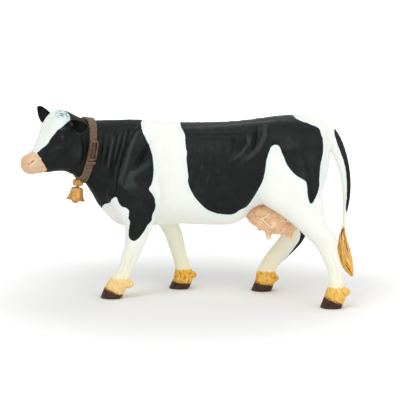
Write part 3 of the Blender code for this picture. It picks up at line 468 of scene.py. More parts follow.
def limb_surface(shares, side, rows, sides):
    """Slices of a limb: its half length and half width times a squircle, tilted by the slope."""
    fine = spaced_rows(shares, rows)[:, :, None]
    across, upward = squircle(circle(sides)[None, :], limb_squareness, limb_squareness)
    along = across * fine[:, 3] * limb_size
    x = fine[:, 0] * body_length + along
    y = -side * fine[:, 1] * stance_width + upward * fine[:, 4] * limb_size
    return np.stack([x, y, fine[:, 2] * back_height + fine[:, 5] * along], axis=-1)


def blob(centre, radii, rows=16, sides=24):
    """An ellipsoid as a grid from pole to pole."""
    latitude = np.linspace(-0.5, 0.5, rows + 2)[1:-1, None] * math.pi
    angle = circle(sides)[None, :]
    x = centre[0] + radii[0] * np.cos(latitude) * np.cos(angle)
    y = centre[1] + radii[1] * np.cos(latitude) * np.sin(angle)
    z = centre[2] + radii[2] * np.sin(latitude) + 0.0 * angle
    return np.stack([x, y, z], axis=-1)


def rings_round(centre, radius, angle, first, second):
    """Points round centres: radius times cosine along one direction and sine along the other."""
    points = centre + (radius * np.cos(angle))[..., None] * first
    return points + (radius * np.sin(angle))[..., None] * second


def grid_faces(rows, sides, ring=False):
    """Quads between neighbouring rings. A ring of rings also joins the last one to the first."""
    row = np.arange(rows if ring else rows - 1)[:, None]
    side = np.arange(sides)[None, :]
    onward = (row + 1) % rows
    beside = (side + 1) % sides
    corners = [row * sides + side, row * sides + beside, onward * sides + beside, onward * sides + side]
    return np.stack(corners, axis=-1).reshape(-1, 4)


def closed_loft(grid):
    """Points and faces of a grid of rings whose ends are closed by fans, faces outwards."""
    rows, sides, _ = grid.shape
    points = np.concatenate([grid.reshape(-1, 3), grid[[0, -1]].mean(axis=1)])
    faces = grid_faces(rows, sides)
    start = np.arange(sides)
    beside = (start + 1) % sides
    last = (rows - 1) * sides
    first_fan = np.stack([beside, start, np.full(sides, rows * sides)], axis=1)
    last_fan = np.stack([last + start, last + beside, np.full(sides, rows * sides + 1)], axis=1)
    return outwards(points, [faces, first_fan, last_fan])


def tube_loop(grid):
    """Points and faces of a grid of rings that closes on itself, faces outwards."""
    rows, sides, _ = grid.shape
    return outwards(grid.reshape(-1, 3), [grid_faces(rows, sides, ring=True)])


def outwards(points, face_sets):
    """Turns all faces round if their signed volume, a sum of corner triple products, is negative."""
    volume = 0.0
    for faces in face_sets:
        for k in range(1, faces.shape[1] - 1):
            a, b, c = points[faces[:, 0]], points[faces[:, k]], points[faces[:, k + 1]]
            volume += float(np.sum(a * np.cross(b, c)))
    if volume < 0.0:
        face_sets = [faces[:, ::-1] for faces in face_sets]
    return points, face_sets


def merged(shapes):
    """Several shapes as one set of points and faces."""
    points = np.concatenate([shape[0] for shape in shapes])
    faces = []
    offset = 0
    for shape_points, face_sets in shapes:
        faces += [face_set + offset for face_set in face_sets]
        offset += len(shape_points)
    return points, faces


def shaded_smooth(mesh):
    """The mesh with all its faces shaded smooth."""
    mesh.polygons.foreach_set("use_smooth", np.ones(len(mesh.polygons), dtype=bool))
    return mesh


def new_mesh(name, points, face_sets):
    """A mesh from points and arrays of faces, each array with its own number of corners."""
    mesh = bpy.data.meshes.new(name)
    mesh.vertices.add(len(points))
    mesh.vertices.foreach_set("co", np.asarray(points, dtype=np.float32).ravel())
    totals = np.concatenate([np.full(len(faces), faces.shape[1]) for faces in face_sets])
    mesh.loops.add(int(totals.sum()))
    corners = np.concatenate([faces.ravel() for faces in face_sets])
    mesh.loops.foreach_set("vertex_index", corners.astype(np.int32))
    mesh.polygons.add(len(totals))
    starts = np.concatenate([[0], np.cumsum(totals)[:-1]])
    mesh.polygons.foreach_set("loop_start", starts.astype(np.int32))
    mesh.update(calc_edges=True)
    mesh.validate()
    return shaded_smooth(mesh)


def new_object(name, mesh):
    """An object for a mesh, linked to the scene."""
    mesh.name = name
    item = bpy.data.objects.new(name, mesh)
    bpy.context.scene.collection.objects.link(item)
    return item


def frame_step():
    """The step from the design's place to the frame's: from the rump's end and the tail's middle."""
    _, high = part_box("torso_right_shell")
    low_tail, high_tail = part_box("tail")
    rump_end = (rump_place_share - body_shares[0][0]) * body_length
    return np.array([high[0] - rump_end, (low_tail[1] + high_tail[1]) / 2.0, 0.0])


box_share = 0.98


def kept_inside(points, margin=0.5 * MM):
    """Eases points back inside the solids' box: past a margin, their distance follows tanh."""
    low, high = (np.asarray(corner) for corner in solid_box)
    placed = points + frame_step()
    over = placed - (high - margin)
    placed = np.where(over > 0.0, high - margin + box_share * margin * np.tanh(over / margin), placed)
    under = low + margin - placed
    placed = np.where(under > 0.0, low + margin - box_share * margin * np.tanh(under / margin), placed)
    return placed - frame_step()


def read_rows(items, name, width, kind=np.float32):
    """One property of all items as an array with a row for each item."""
    values = np.empty(len(items) * width, dtype=kind)
    items.foreach_get(name, values)
    return values.reshape(-1, width)


def mesh_points(mesh):
    """A mesh's points as an array."""
    return read_rows(mesh.vertices, "co", 3).astype(float)


def mesh_normals(mesh):
    """A mesh's point normals as an array."""
    return read_rows(mesh.vertex_normals, "vector", 3).astype(float)


def mesh_edges(mesh):
    """A mesh's edges as pairs of point numbers."""
    return read_rows(mesh.edges, "vertices", 2, np.int32)


def set_points(mesh, points):
    """Puts an array of points into a mesh."""
    mesh.vertices.foreach_set("co", np.asarray(points, dtype=np.float32).ravel())
    mesh.update()


def set_values(mesh, name, values):
    """Keeps one number for each point, for the materials."""
    layer = mesh.attributes.get(name) or mesh.attributes.new(name, "FLOAT", "POINT")
    layer.data.foreach_set("value", np.asarray(values, dtype=np.float32))


def get_values(mesh, name):
    """The numbers kept for each point."""
    return read_rows(mesh.attributes[name].data, "value", 1)[:, 0].astype(float)


def neighbour_mean(values, edges):
    """The mean of each point's neighbours, summed over the edges."""
    count = len(values)
    total = np.bincount(edges.ravel(), minlength=count)
    flat = values.reshape(count, -1)
    sums = np.empty_like(flat)
    for k in range(flat.shape[1]):
        sums[:, k] = np.bincount(edges[:, 0], flat[edges[:, 1], k], count)
        sums[:, k] += np.bincount(edges[:, 1], flat[edges[:, 0], k], count)
    return (sums / np.maximum(total, 1)[:, None]).reshape(values.shape)


def smoothed(values, edges, rounds, share):
    """Moves values towards the mean of their neighbours, several times, by a share for each."""
    weight = np.asarray(share)
    if weight.ndim and values.ndim > 1:
        weight = weight[:, None]
    for _ in range(rounds):
        values = values + (neighbour_mean(values, edges) - values) * weight
    return values


def voxel_skin(name, shapes, voxel):
    """One even skin of quads round overlapping closed shapes."""
    item = new_object(name, new_mesh(name, *merged(shapes)))
    modifier = item.modifiers.new("skin", "REMESH")
    modifier.mode = "VOXEL"
    modifier.voxel_size = voxel
    bpy.context.view_layer.update()
    evaluated = item.evaluated_get(bpy.context.evaluated_depsgraph_get())
    mesh = bpy.data.meshes.new_from_object(evaluated)
    old = item.data
    bpy.data.objects.remove(item, do_unlink=True)
    bpy.data.meshes.remove(old)
    return shaded_smooth(mesh)


def eased(mesh, rounds):
    """The points and edges of a skin that has been smoothed."""
    edges = mesh_edges(mesh)
    points = smoothed(mesh_points(mesh), edges, rounds, 0.5)
    set_points(mesh, points)
    return points, edges


def step_up(values, low, high):
    """A smooth step from 0 to 1 between two values."""
    t = np.clip((values - low) / (high - low), 0.0, 1.0)
    return t * t * (3.0 - 2.0 * t)


def seen_from(points, rule):
    """Points folded to the cow's left side by rule 0, or seen from its left by 1 or right by -1."""
    across = np.abs(points[:, 1]) if rule == 0 else points[:, 1] * rule
    return np.stack([points[:, 0], across, points[:, 2]], axis=1)


def bell_curve(points, centre, reaches):
    """The exponential of minus the squared distance from a centre, counted in its reaches."""
    return np.exp(-(((points - centre) / reaches) ** 2).sum(axis=1))


def swell(straight, features):
    """Rounded swells and hollows: the rise times a bell curve of the distance. Feature: side rule,
    run, side, height, three reaches, rise, all in millimetres."""
    result = np.zeros(len(straight))
    for rule, *place in features:
        centre, reaches, rise = np.asarray(place[:3]), np.asarray(place[3:6]), place[6]
        result += rise * MM * bell_curve(seen_from(straight, rule), centre * MM, reaches * MM)
    return result


def line_gap(points, line):
    """The distance of points from a line of points, and how far along the line, from 0 to 1."""
    best = np.full(len(points), np.inf)
    along = np.zeros(len(points))
    count = len(line) - 1
    for k in range(count):
        start = line[k]
        reach = line[k + 1] - start
        t = np.clip((points - start) @ reach / (reach @ reach), 0.0, 1.0)
        gap = np.linalg.norm(points - start - t[:, None] * reach, axis=1)
        closer = gap < best
        best = np.where(closer, gap, best)
        along = np.where(closer, (k + t) / count, along)
    return best, along


def lines_raised(straight, features):
    """Ridges and grooves along lines: the rise times a bell curve of the distance, fading to the
    ends. Feature: side rule, rise, width, line points, all in millimetres."""
    result = np.zeros(len(straight))
    for rule, rise, width, line in features:
        gap, along = line_gap(seen_from(straight, rule), np.asarray(line) * MM)
        fade = np.sin(math.pi * np.clip(along * 0.8 + 0.1, 0.0, 1.0)) ** 0.6
        result += rise * MM * fade * np.exp(-(gap / (width * MM)) ** 2)
    return result


def ripple(points, wavelength, seed):
    """Smooth irregular waves: a mean of sines in fixed, seeded directions."""
    draw = np.random.default_rng(seed)
    directions = draw.normal(size=(12, 3))
    directions /= np.linalg.norm(directions, axis=1)[:, None]
    scales = draw.uniform(0.7, 1.5, 12)
    phases = draw.uniform(0.0, 2.0 * math.pi, 12)
    waves = points @ (directions * scales[:, None]).T * (2.0 * math.pi / wavelength) + phases
    return np.sin(waves).mean(axis=1) * 2.0


# Body swells: side rule, run, side, height, reaches, rise
body_swells = (
    (0, 29.0, 12.6, 74.5, 2.8, 2.8, 2.4, 0.55),
    (0, 37.0, 13.5, 67.5, 4.5, 4.0, 3.5, -0.50),
    (0, 16.0, 14.0, 68.0, 5.0, 4.0, 4.5, 0.35),
    (0, 5.0, 6.5, 72.0, 2.4, 2.4, 2.6, 0.45),
    (0, 9.0, 5.0, 76.5, 4.0, 2.2, 3.0, -0.45),
    (0, 21.0, 16.5, 46.5, 4.5, 4.0, 4.5, 0.45),
    (0, 12.0, 17.0, 52.0, 6.0, 4.0, 7.0, 0.35),
    (0, 90.0, 12.0, 52.0, 5.0, 3.0, 5.0, 0.20),
    (0, 84.0, 14.0, 50.0, 3.4, 3.0, 4.0, 0.45),
    (0, 78.0, 15.0, 47.0, 4.0, 3.0, 5.0, 0.30),
    (0, 100.0, 0.0, 40.0, 5.0, 3.5, 6.0, 0.35),
    (0, 56.0, 17.0, 47.0, 10.0, 5.0, 8.0, 0.25),
)

# Body lines: side rule, rise, width, points of run, side and height
body_lines = (
    (0, 0.45, 1.5, ((26.0, 9.5, 76.8), (26.1, 13.4, 71.5), (29.3, 15.2, 65.6), (35.0, 16.1, 61.0))),
    (0, -0.65, 0.90, ((30.5, 10.6, 75.0), (30.7, 13.7, 70.0), (31.4, 14.9, 66.8))),
    (0, -0.35, 0.8, ((40.7, 12.0, 71.6), (39.2, 13.7, 68.7))),
    (0, 0.40, 1.5, ((62.0, 8.0, 73.0), (46.2, 7.9, 74.1), (37.7, 7.7, 75.1), (28.2, 8.7, 76.2),
        (16.4, 9.0, 77.3))),
    (0, -0.30, 1.5, ((60.0, 10.5, 71.0), (46.0, 10.8, 71.8), (34.0, 11.3, 72.8), (24.0, 12.0, 73.6))),
    (0, 0.50, 2.0, ((75.5, 14.1, 58.9), (79.0, 13.5, 56.6), (82.7, 14.0, 54.4), (87.3, 14.5, 49.4))),
    (0, 0.55, 2.1, ((81.5, 6.6, 73.5), (84.0, 9.5, 66.5), (86.8, 12.2, 59.0), (90.0, 13.6, 51.5))),
    (0, -0.60, 1.5, ((76.0, 11.0, 68.0), (79.7, 12.3, 61.5), (81.9, 13.4, 56.9))),
    (0, -0.45, 0.9, ((80.0, 5.4, 74.0), (83.3, 7.1, 71.5), (85.1, 8.6, 68.7))),
    (0, -0.62, 0.85, ((86.8, 6.4, 72.4), (88.4, 9.2, 66.1), (90.4, 11.1, 61.2), (92.5, 12.6, 55.0),
        (94.0, 13.4, 47.4))),
    (0, -0.46, 0.75, ((89.4, 6.4, 71.8), (91.5, 8.8, 65.5), (94.7, 9.9, 58.7), (96.0, 10.6, 53.0))),
    (0, -0.40, 0.75, ((92.8, 7.0, 70.1), (95.8, 9.5, 59.8), (97.1, 9.7, 54.7))),
    (0, -0.36, 0.75, ((96.4, 6.0, 71.5), (98.4, 8.4, 64.0), (100.4, 8.7, 57.6))),
    (0, -0.30, 0.75, ((99.6, 6.0, 71.0), (101.6, 7.8, 64.0), (103.0, 8.2, 58.0))),
    (0, 0.30, 0.8, ((88.0, 8.2, 69.0), (89.6, 10.2, 63.6), (91.6, 11.8, 57.8), (93.2, 13.0, 51.0))),
    (0, 0.26, 0.7, ((91.2, 7.8, 70.0), (93.6, 9.4, 62.0), (95.8, 10.2, 56.0))),
    (0, 0.24, 0.7, ((94.6, 7.6, 69.4), (96.8, 9.0, 61.6), (98.6, 9.4, 56.0))),
    (0, 0.45, 1.3, ((33.4, 12.6, 71.6), (33.2, 14.4, 68.4), (35.5, 15.4, 64.5), (39.6, 15.8, 61.5))),
    (0, -0.26, 1.3, ((71.2, 15.8, 54.0), (70.9, 16.0, 51.2), (69.9, 16.1, 44.8), (71.3, 14.0, 38.4),
        (74.2, 9.0, 33.0))),
    (0, 0.35, 1.4, ((28.0, 15.5, 50.5), (32.0, 15.2, 45.0), (35.5, 13.0, 40.0))),
    (0, -0.35, 1.2, ((11.0, 15.0, 66.0), (7.6, 16.4, 56.0), (5.6, 16.6, 46.0), (3.6, 15.6, 38.0))),
    (0, -0.30, 1.0, ((4.0, 13.0, 66.0), (2.6, 13.8, 56.0), (3.0, 14.4, 46.0))),
)

# Ribs in millimetres: first run, pitch, slant with the height, bow, rise, and the ranges they show in
rib_first_run = 41.0
rib_pitch = 3.7
rib_slant = 0.14
rib_slant_level = 60.0
rib_bow = 1.5
rib_bow_level = 58.0
rib_bow_reach = 12.0
rib_rise = 0.075
rib_heights = (48.0, 57.0, 66.0, 71.0)
rib_runs = (37.5, 40.0, 56.0, 64.0)


def ribs(straight):
    """Rounded ribs: a cosine of the run, sheared and bowed by the height, inside soft limits."""
    run = straight[:, 0] / MM
    height = straight[:, 2] / MM
    bow = (height - rib_slant_level) * rib_slant
    bow = bow - rib_bow * ((height - rib_bow_level) / rib_bow_reach) ** 2
    wave = np.cos((run - rib_first_run + bow) / rib_pitch * 2.0 * math.pi)
    level = step_up(height, *rib_heights[:2]) * (1.0 - step_up(height, *rib_heights[2:]))
    reach = step_up(run, *rib_runs[:2]) * (1.0 - step_up(run, *rib_runs[2:]))
    return rib_rise * MM * wave * level * reach


# Grooves on the legs: share of the half length, rise, lowest and highest height share
leg_grooves = ((0.42, -0.34, 0.10, 0.30), (-0.35, -0.14, 0.12, 0.26))
leg_groove_width = 0.7
leg_groove_side_share = 0.92


def leg_lines():
    """Grooves before the tendons and along the bones of each leg, from its own table."""
    features = []
    for _, shares, side in legs:
        rows = np.asarray(shares)
        for share, rise, low, high in leg_grooves:
            picked = rows[(rows[:, 2] > low) & (rows[:, 2] < high)]
            x = picked[:, 0] * body_length + share * picked[:, 3] * limb_size
            half = leg_groove_side_share * picked[:, 4] * limb_size
            y = -side * (picked[:, 1] * stance_width + half)
            places = np.stack([x, y, picked[:, 2] * back_height], axis=1)
            line = seen_from(straight_from_place(places), side) / MM
            features.append((side, rise, leg_groove_width, line))
    return features


# Leg swells in place coordinates seen from the leg's own side: leg, x, y, height, reaches, rise
leg_swells = (
    (1, 82.5, 14.8, 23.5, 3.6, 3.5, 3.4, 0.42),
    (1, 79.2, 15.0, 25.5, 1.6, 3.0, 2.0, 0.20),
    (1, 88.4, 15.0, 11.4, 2.5, 3.0, 2.2, 0.25),
    (-1, 70.3, 14.8, 25.0, 3.6, 3.5, 3.4, 0.42),
    (-1, 67.2, 15.0, 11.4, 2.5, 3.0, 2.2, 0.25),
    (1, 0.0, 15.8, 30.5, 3.0, 3.0, 3.0, 0.35),
    (1, -3.8, 16.0, 11.0, 2.5, 3.0, 2.2, 0.25),
    (-1, 14.5, 15.8, 28.5, 3.0, 3.0, 3.0, 0.35),
    (-1, 29.0, 18.0, 10.0, 2.5, 3.0, 2.2, 0.25),
)


# Head swells: side rule, run, side, height, reaches, rise
head_swells = (
    (0, 121.0, 7.6, 74.2, 3.2, 2.2, 1.6, 0.45),
    (0, 126.0, 6.6, 69.0, 2.4, 2.0, 1.6, -0.25),
    (0, 119.6, 8.4, 70.2, 1.4, 1.5, 1.6, -0.25),
    (0, 115.5, 8.2, 63.5, 4.0, 3.0, 4.5, 0.45),
    (0, 125.5, 0.0, 77.0, 4.0, 3.0, 4.0, -0.35),
    (0, 129.0, 0.0, 69.0, 4.0, 1.6, 4.0, 0.25),
    (0, 130.0, 4.6, 63.6, 2.8, 2.0, 2.4, -0.30),
    (0, 134.0, 4.6, 60.2, 2.4, 2.2, 2.4, 0.35),
    (0, 133.5, 0.0, 55.8, 2.6, 3.2, 1.6, 0.35),
    (0, 118.5, 0.0, 81.5, 2.0, 3.0, 1.6, 0.30),
    (0, 111.5, 5.5, 76.0, 2.4, 2.4, 2.8, -0.45),
    (0, 117.0, 7.5, 76.4, 2.2, 1.8, 2.0, 0.55),
    (0, 109.6, 7.6, 66.0, 1.6, 2.6, 5.5, -0.40),
)

# Head lines: side rule, rise, width, points of run, side and height
head_lines = (
    (0, 0.26, 0.9, ((124.0, 7.4, 66.6), (127.0, 6.0, 64.6), (129.5, 5.2, 62.8))),
    (0, -0.16, 0.45, ((136.4, 1.6, 57.8), (134.5, 4.2, 57.6), (131.0, 5.0, 57.9), (127.4, 5.2, 58.6),
        (125.6, 5.6, 58.4))),
    (0, 0.20, 0.9, ((134.0, 4.6, 56.6), (130.0, 4.8, 56.4), (126.5, 4.8, 57.0))),
    (0, -0.30, 0.55, ((131.9, 1.5, 64.6), (131.6, 4.2, 63.2), (130.4, 5.4, 60.8), (128.6, 5.2, 58.0))),
    (0, -0.50, 0.9, ((112.2, 7.6, 71.0), (111.6, 7.8, 65.5), (111.8, 7.4, 60.4), (113.4, 6.0, 57.4))),
    (0, 0.22, 0.8, ((113.8, 5.4, 57.3), (118.0, 4.6, 56.7), (122.0, 4.6, 56.7))),
    (0, -0.22, 0.7, ((116.0, 8.2, 69.0), (118.6, 8.3, 65.4), (121.8, 7.9, 63.4))),
    (0, -0.16, 0.4, ((118.6, 8.2, 72.6), (120.8, 8.6, 73.0), (123.2, 7.8, 72.6), (124.6, 7.0, 71.4))),
    (0, 0.16, 0.6, ((117.4, 8.0, 73.6), (120.6, 8.8, 74.6), (124.0, 7.6, 73.6), (126.0, 6.2, 71.4))),
    (0, 0.14, 0.6, ((118.4, 8.6, 67.0), (121.0, 8.6, 65.8), (124.6, 7.6, 66.2), (127.0, 6.2, 67.2))),
    (0, 0.18, 0.9, ((114.2, 8.2, 69.0), (113.8, 8.6, 64.6), (114.6, 8.0, 60.4), (117.0, 6.4, 57.9))),
    (0, -0.16, 0.6, ((112.8, 5.6, 77.4), (114.6, 6.6, 75.4), (116.4, 7.4, 73.0), (116.6, 7.8, 70.4))),
    (0, -0.14, 0.4, ((119.0, 8.4, 68.6), (121.4, 8.6, 67.6), (124.0, 7.8, 68.0), (125.4, 7.0, 69.0))),
)

# Eye lids, eye sockets and nostrils, in millimetres
lid_ring = 1.22
lid_width = 0.34
lid_rise = 0.11
lid_trough = 1.95
lid_trough_rise = -0.05
lid_stretch = (0.74, 1.0, 1.18)
socket_depth = 0.45
socket_reach = 0.80
eye_aim = (0.30, 1.0, 0.06)
nostril_line = ((136.0, 3.4, 59.7), (135.2, 4.1, 60.4), (134.3, 4.6, 61.3))
nostril_depth = 0.62
nostril_width = 0.52
nostril_front_share = 1.25
nostril_narrowing = 0.6
nostril_rim = 0.12
nostril_rim_gap = 0.95
nostril_rim_width = 0.45


def eye_centres():
    """Both eyes' places in straight coordinates, folded to the left side."""
    run, side, height = eye_place_share
    return np.array([run * body_length, side * barrel_width / 2.0, height * back_height])


def eye_lids(straight):
    """A raised rim round each eye and a trough outside it: bell curves of the distance from the
    eye's axis, only on the eye's own side."""
    aim = unit(eye_aim)
    offset = seen_from(straight, 0) - eye_centres()
    depth = offset @ aim
    gap = np.linalg.norm((offset - depth[:, None] * aim) * np.array(lid_stretch), axis=1) / MM
    rim = lid_rise * np.exp(-((gap - lid_ring) / lid_width) ** 2)
    trough = lid_trough_rise * np.exp(-((gap - lid_trough) / lid_width) ** 2)
    socket = -socket_depth * np.exp(-(gap / socket_reach) ** 4)
    return (rim + trough + socket) * MM * (depth > -2.0 * MM)


def nostrils(straight):
    """A comma-shaped hollow with a raised rim on each side of the muzzle."""
    gap, along = line_gap(seen_from(straight, 0), np.asarray(nostril_line) * MM)
    gap = gap / MM
    width = nostril_width * (nostril_front_share - nostril_narrowing * along)
    hollow = -nostril_depth * np.exp(-(gap / width) ** 2)
    rim = nostril_rim * np.exp(-((gap - nostril_rim_gap) / nostril_rim_width) ** 2)
    return (hollow + rim) * MM


# The poll's curls and its painted strokes: centre and reaches in millimetres
curl_centre = (118.6, 0.0, 80.5)
curl_reaches = (3.2, 4.0, 2.2)
curl_rise = 0.16
curl_size = 1.5
poll_centre = (119.2, 3.2, 79.2)
poll_reaches = (4.6, 5.0, 4.4)


def poll_curls(straight):
    """Short curls on the poll: small waves inside a rounded patch between the ears."""
    patch = bell_curve(straight / MM, curl_centre, curl_reaches)
    return curl_rise * MM * patch * ripple(straight, curl_size * MM, 5)


def poll_by(straight):
    """How near each point lies to the poll's painted strokes, from 0 to 1."""
    return bell_curve(straight / MM, poll_centre, poll_reaches)


# Painted outlines on the side that the photograph shows, in its pixels
front_patch_pixels = (
    (60, 90), (141, 90), (141, 124), (145, 137), (150, 147), (153, 160), (153.5, 172), (152, 183),
    (149, 189), (154, 197), (155.5, 207), (152, 216), (152, 220), (148, 225), (143, 233), (138, 239),
    (134, 241), (130, 239), (128.5, 235), (129, 228), (130, 222), (128.5, 218), (129, 211), (126, 208),
    (121, 206), (118, 201), (116, 197), (112, 199), (110, 202.6), (104.8, 204), (102.7, 206), (96, 212),
    (60, 212),
)
saddle_pixels = (
    (180.2, 90), (180.2, 122.4), (184.6, 134), (185.4, 143), (186.9, 154), (186.5, 158.6), (188, 174),
    (188.4, 184), (192.6, 194), (198.8, 202), (206.4, 209), (215.6, 213), (220, 214), (231.5, 214.6),
    (239, 210.7), (247.8, 205.5), (256.4, 193), (262, 182.5), (264.5, 174), (266, 164), (267.4, 156.7),
    (272, 146), (278.4, 145.7), (282, 153), (286, 162.4), (290, 169), (296.6, 176), (303.3, 179.6),
    (306.6, 184), (307.6, 194), (309.5, 202.6), (313.3, 202), (318.6, 190), (319.5, 178), (320.5, 166),
    (323, 153), (323, 141), (321.4, 134.7), (318.6, 128), (309, 123.7), (292.7, 115), (292.7, 90),
)
hock_strip_pixels = (
    (299.6, 229.0), (305, 228), (312, 236), (308, 245), (298, 256), (288.0, 263), (283.0, 261.4),
    (289.0, 254.6), (294.6, 247.0), (299.4, 240.0), (300.4, 234.1),
)
tail_stripe_pixels = (
    (334.6, 129.0), (334.6, 135.0), (337.6, 144.5), (341.5, 155), (344.7, 165), (346.2, 175),
    (346.8, 185), (346.7, 196), (345.9, 208.5), (347.5, 212), (352, 209), (357, 190), (357, 170),
    (351, 150), (343, 136), (338, 130),
)

# The black brow over the eye on the other side: centre and reach in millimetres
far_brow = (121.8, -6.6, 73.4)
far_brow_reach = 3.1

# Painted outlines on the other side, x and height in millimetres
front_patch_right = (
    (-80, 95), (-21.7, 95), (-21.7, 78), (-20.4, 72), (-16.0, 66), (-13.6, 60), (-15.6, 54), (-14.6, 48),
    (-15.8, 43), (-19.8, 40), (-20.6, 35), (-23.4, 31.4), (-26.2, 34), (-27.4, 38.4), (-31.0, 41.4),
    (-34.6, 39.8), (-38.4, 38), (-44.0, 34), (-80, 34),
)
saddle_right = (
    (-4.6, 95), (-4.6, 77), (-6.6, 72), (-7.6, 66), (-6.8, 61), (-9.4, 56), (-8.8, 50), (-4.0, 45.6),
    (2.0, 43.4), (8.0, 40.4), (15.0, 40.2), (21.0, 43), (25.0, 48), (29.0, 52.6), (33.6, 53.4),
    (38.0, 50.6), (41.0, 46), (44.6, 45), (47.2, 49), (49.8, 55), (52.6, 61), (52.4, 67), (50.4, 72.6),
    (46.6, 77), (42.6, 80), (42.6, 95),
)
white_island_right = (
    (25.6, 66.4), (29.0, 68.8), (33.0, 67.6), (35.4, 64.2), (33.2, 61.2), (30.6, 58.2), (27.4, 59.4),
    (26.4, 62.6),
)

# What a painted region's number is where there is none of it, far outside in millimetres
unpainted = -5.0
hock_strip_top = 36.0


def rounded(outline, per_side=4):
    """A closed outline on a Catmull-Rom curve through its points."""
    points = np.asarray(outline, dtype=float)
    around = np.concatenate([points[-1:], points, points[:2]])
    return curve_rows(around, 1.0 + np.arange(len(points) * per_side) / per_side)


def inside_by(points, outline):
    """The signed distance into a closed outline: the least distance from its sides, positive
    inside by the count of crossings."""
    outline = rounded(outline)
    best = np.full(len(points), np.inf)
    crossings = np.zeros(len(points), dtype=int)
    for k in range(len(outline)):
        start = outline[k]
        end = outline[(k + 1) % len(outline)]
        reach = end - start
        t = np.clip((points - start) @ reach / (reach @ reach), 0.0, 1.0)
        best = np.minimum(best, np.linalg.norm(points - start - t[:, None] * reach, axis=1))
        spans = (start[1] > points[:, 1]) != (end[1] > points[:, 1])
        rise = reach[1] if reach[1] != 0.0 else 1.0
        crossings += spans & (points[:, 0] < start[0] + (points[:, 1] - start[1]) / rise * reach[0])
    return np.where(crossings % 2 == 1, best, -best)


def view_axes():
    """The photograph's directions to the right, towards the camera and up."""
    a, e = view_turn, view_rise
    right = np.array([math.cos(a), math.sin(a), 0.0])
    toward = np.array([math.sin(a) * math.cos(e), -math.cos(a) * math.cos(e), math.sin(e)])
    up = np.array([-math.sin(a) * math.sin(e), math.cos(a) * math.sin(e), math.cos(e)])
    return right, toward, up


def view_target():
    """The place at the middle of the photograph's frame, in the design's place."""
    right, _, up = view_axes()
    middle = np.array([0.0, 0.0, view_middle_height]) + right * (middle_offset_right / pixels_per_metre)
    return middle + up * (middle_offset_down / pixels_per_metre)


def to_pixels(places):
    """Where places lie in the photograph: offsets across the view over the distance along it."""
    right, toward, up = view_axes()
    offset = places - view_target()
    scale = lens_mm / sensor_mm * frame_pixels / (view_distance - offset @ toward)
    half = frame_pixels / 2.0
    return np.stack([half + scale * (offset @ right), half - scale * (offset @ up)], axis=1)


def black_by(places, straight):
    """How far inside the black patches each point lies, in millimetres."""
    pixels = to_pixels(places)
    per_mm = pixels_per_metre * MM
    near = np.maximum(inside_by(pixels, front_patch_pixels), inside_by(pixels, saddle_pixels)) / per_mm
    flat = places[:, [0, 2]] / MM
    far = np.maximum(inside_by(flat, front_patch_right), inside_by(flat, saddle_right))
    far = np.minimum(far, -inside_by(flat, white_island_right))
    share = step_up(straight[:, 1] / MM, -1.2, 1.2)
    result = near * share + far * (1.0 - share)
    strip = inside_by(pixels, hock_strip_pixels) / per_mm
    strip = np.where((straight[:, 1] < 0.0) & (places[:, 2] < hock_strip_top * MM), strip, unpainted)
    return np.maximum(result, strip)


# The blaze by run and height, the muzzle's edge by height and run, and where the hair over the
# hooves ends above, all in millimetres
blaze_outline = (
    (119.9, 95), (119.2, 84.0), (117.2, 80.8), (117.5, 78.0), (119.9, 76.4), (122.3, 75.0),
    (124.5, 73.2), (126.0, 70.9), (128.0, 67.8), (130.5, 65.3), (131.7, 63.8), (132.2, 60), (150, 60),
    (150, 95),
)
muzzle_edge = ((57.0, 128.0), (57.7, 128.6), (60.9, 130.7), (63.8, 131.9), (65.5, 132.6), (90.0, 134.0))
ochre_top = 8.9


def head_black_by(straight):
    """How far outside the blaze each point of the head lies, in millimetres."""
    return -inside_by(straight[:, [0, 2]] / MM, blaze_outline)


def muzzle_by(straight):
    """How far ahead of the muzzle's painted edge each point lies, in millimetres."""
    return straight[:, 0] / MM - np.interp(straight[:, 2] / MM, *zip(*muzzle_edge))


def hollow_of(mesh):
    """How hollow the skin is at each point: the neighbours' mean over the point along its normal,
    smoothed a little."""
    points = mesh_points(mesh)
    edges = mesh_edges(mesh)
    gap = np.einsum("ij,ij->i", neighbour_mean(points, edges) - points, mesh_normals(mesh))
    length = np.linalg.norm(points[edges[:, 0]] - points[edges[:, 1]], axis=1).mean()
    return smoothed(gap / length, edges, 2, 0.5)


# Rings and points of the shapes that the skins go round, and the tail rows inside the coat's skin
body_rows = 260
head_rows = 200
body_sides = 120
limb_rows = 120
limb_sides = 48
tail_root_rows = 4

# How the skins are smoothed, and how far their relief is painted as shade in grooves and highlight on
# ridges
coat_smooth_rounds = 8
blend_rounds = 46
blend_heights = (33.0, 42.0)
head_smooth_rounds = 9
last_rounds = 2
last_share = 0.3
relief_light_share = 0.12
head_relief_light_share = 0.14

# The hair over the hooves and the coat's own unevenness, in millimetres
hair_lift = 0.15
hair_depth = 0.11
lock_size = 1.4
lock_stretch = (1.0, 1.0, 0.60)
fine_lock_size = 0.9
fine_lock_share = 0.6
coat_ripple = 0.05
coat_ripple_size = 5.0


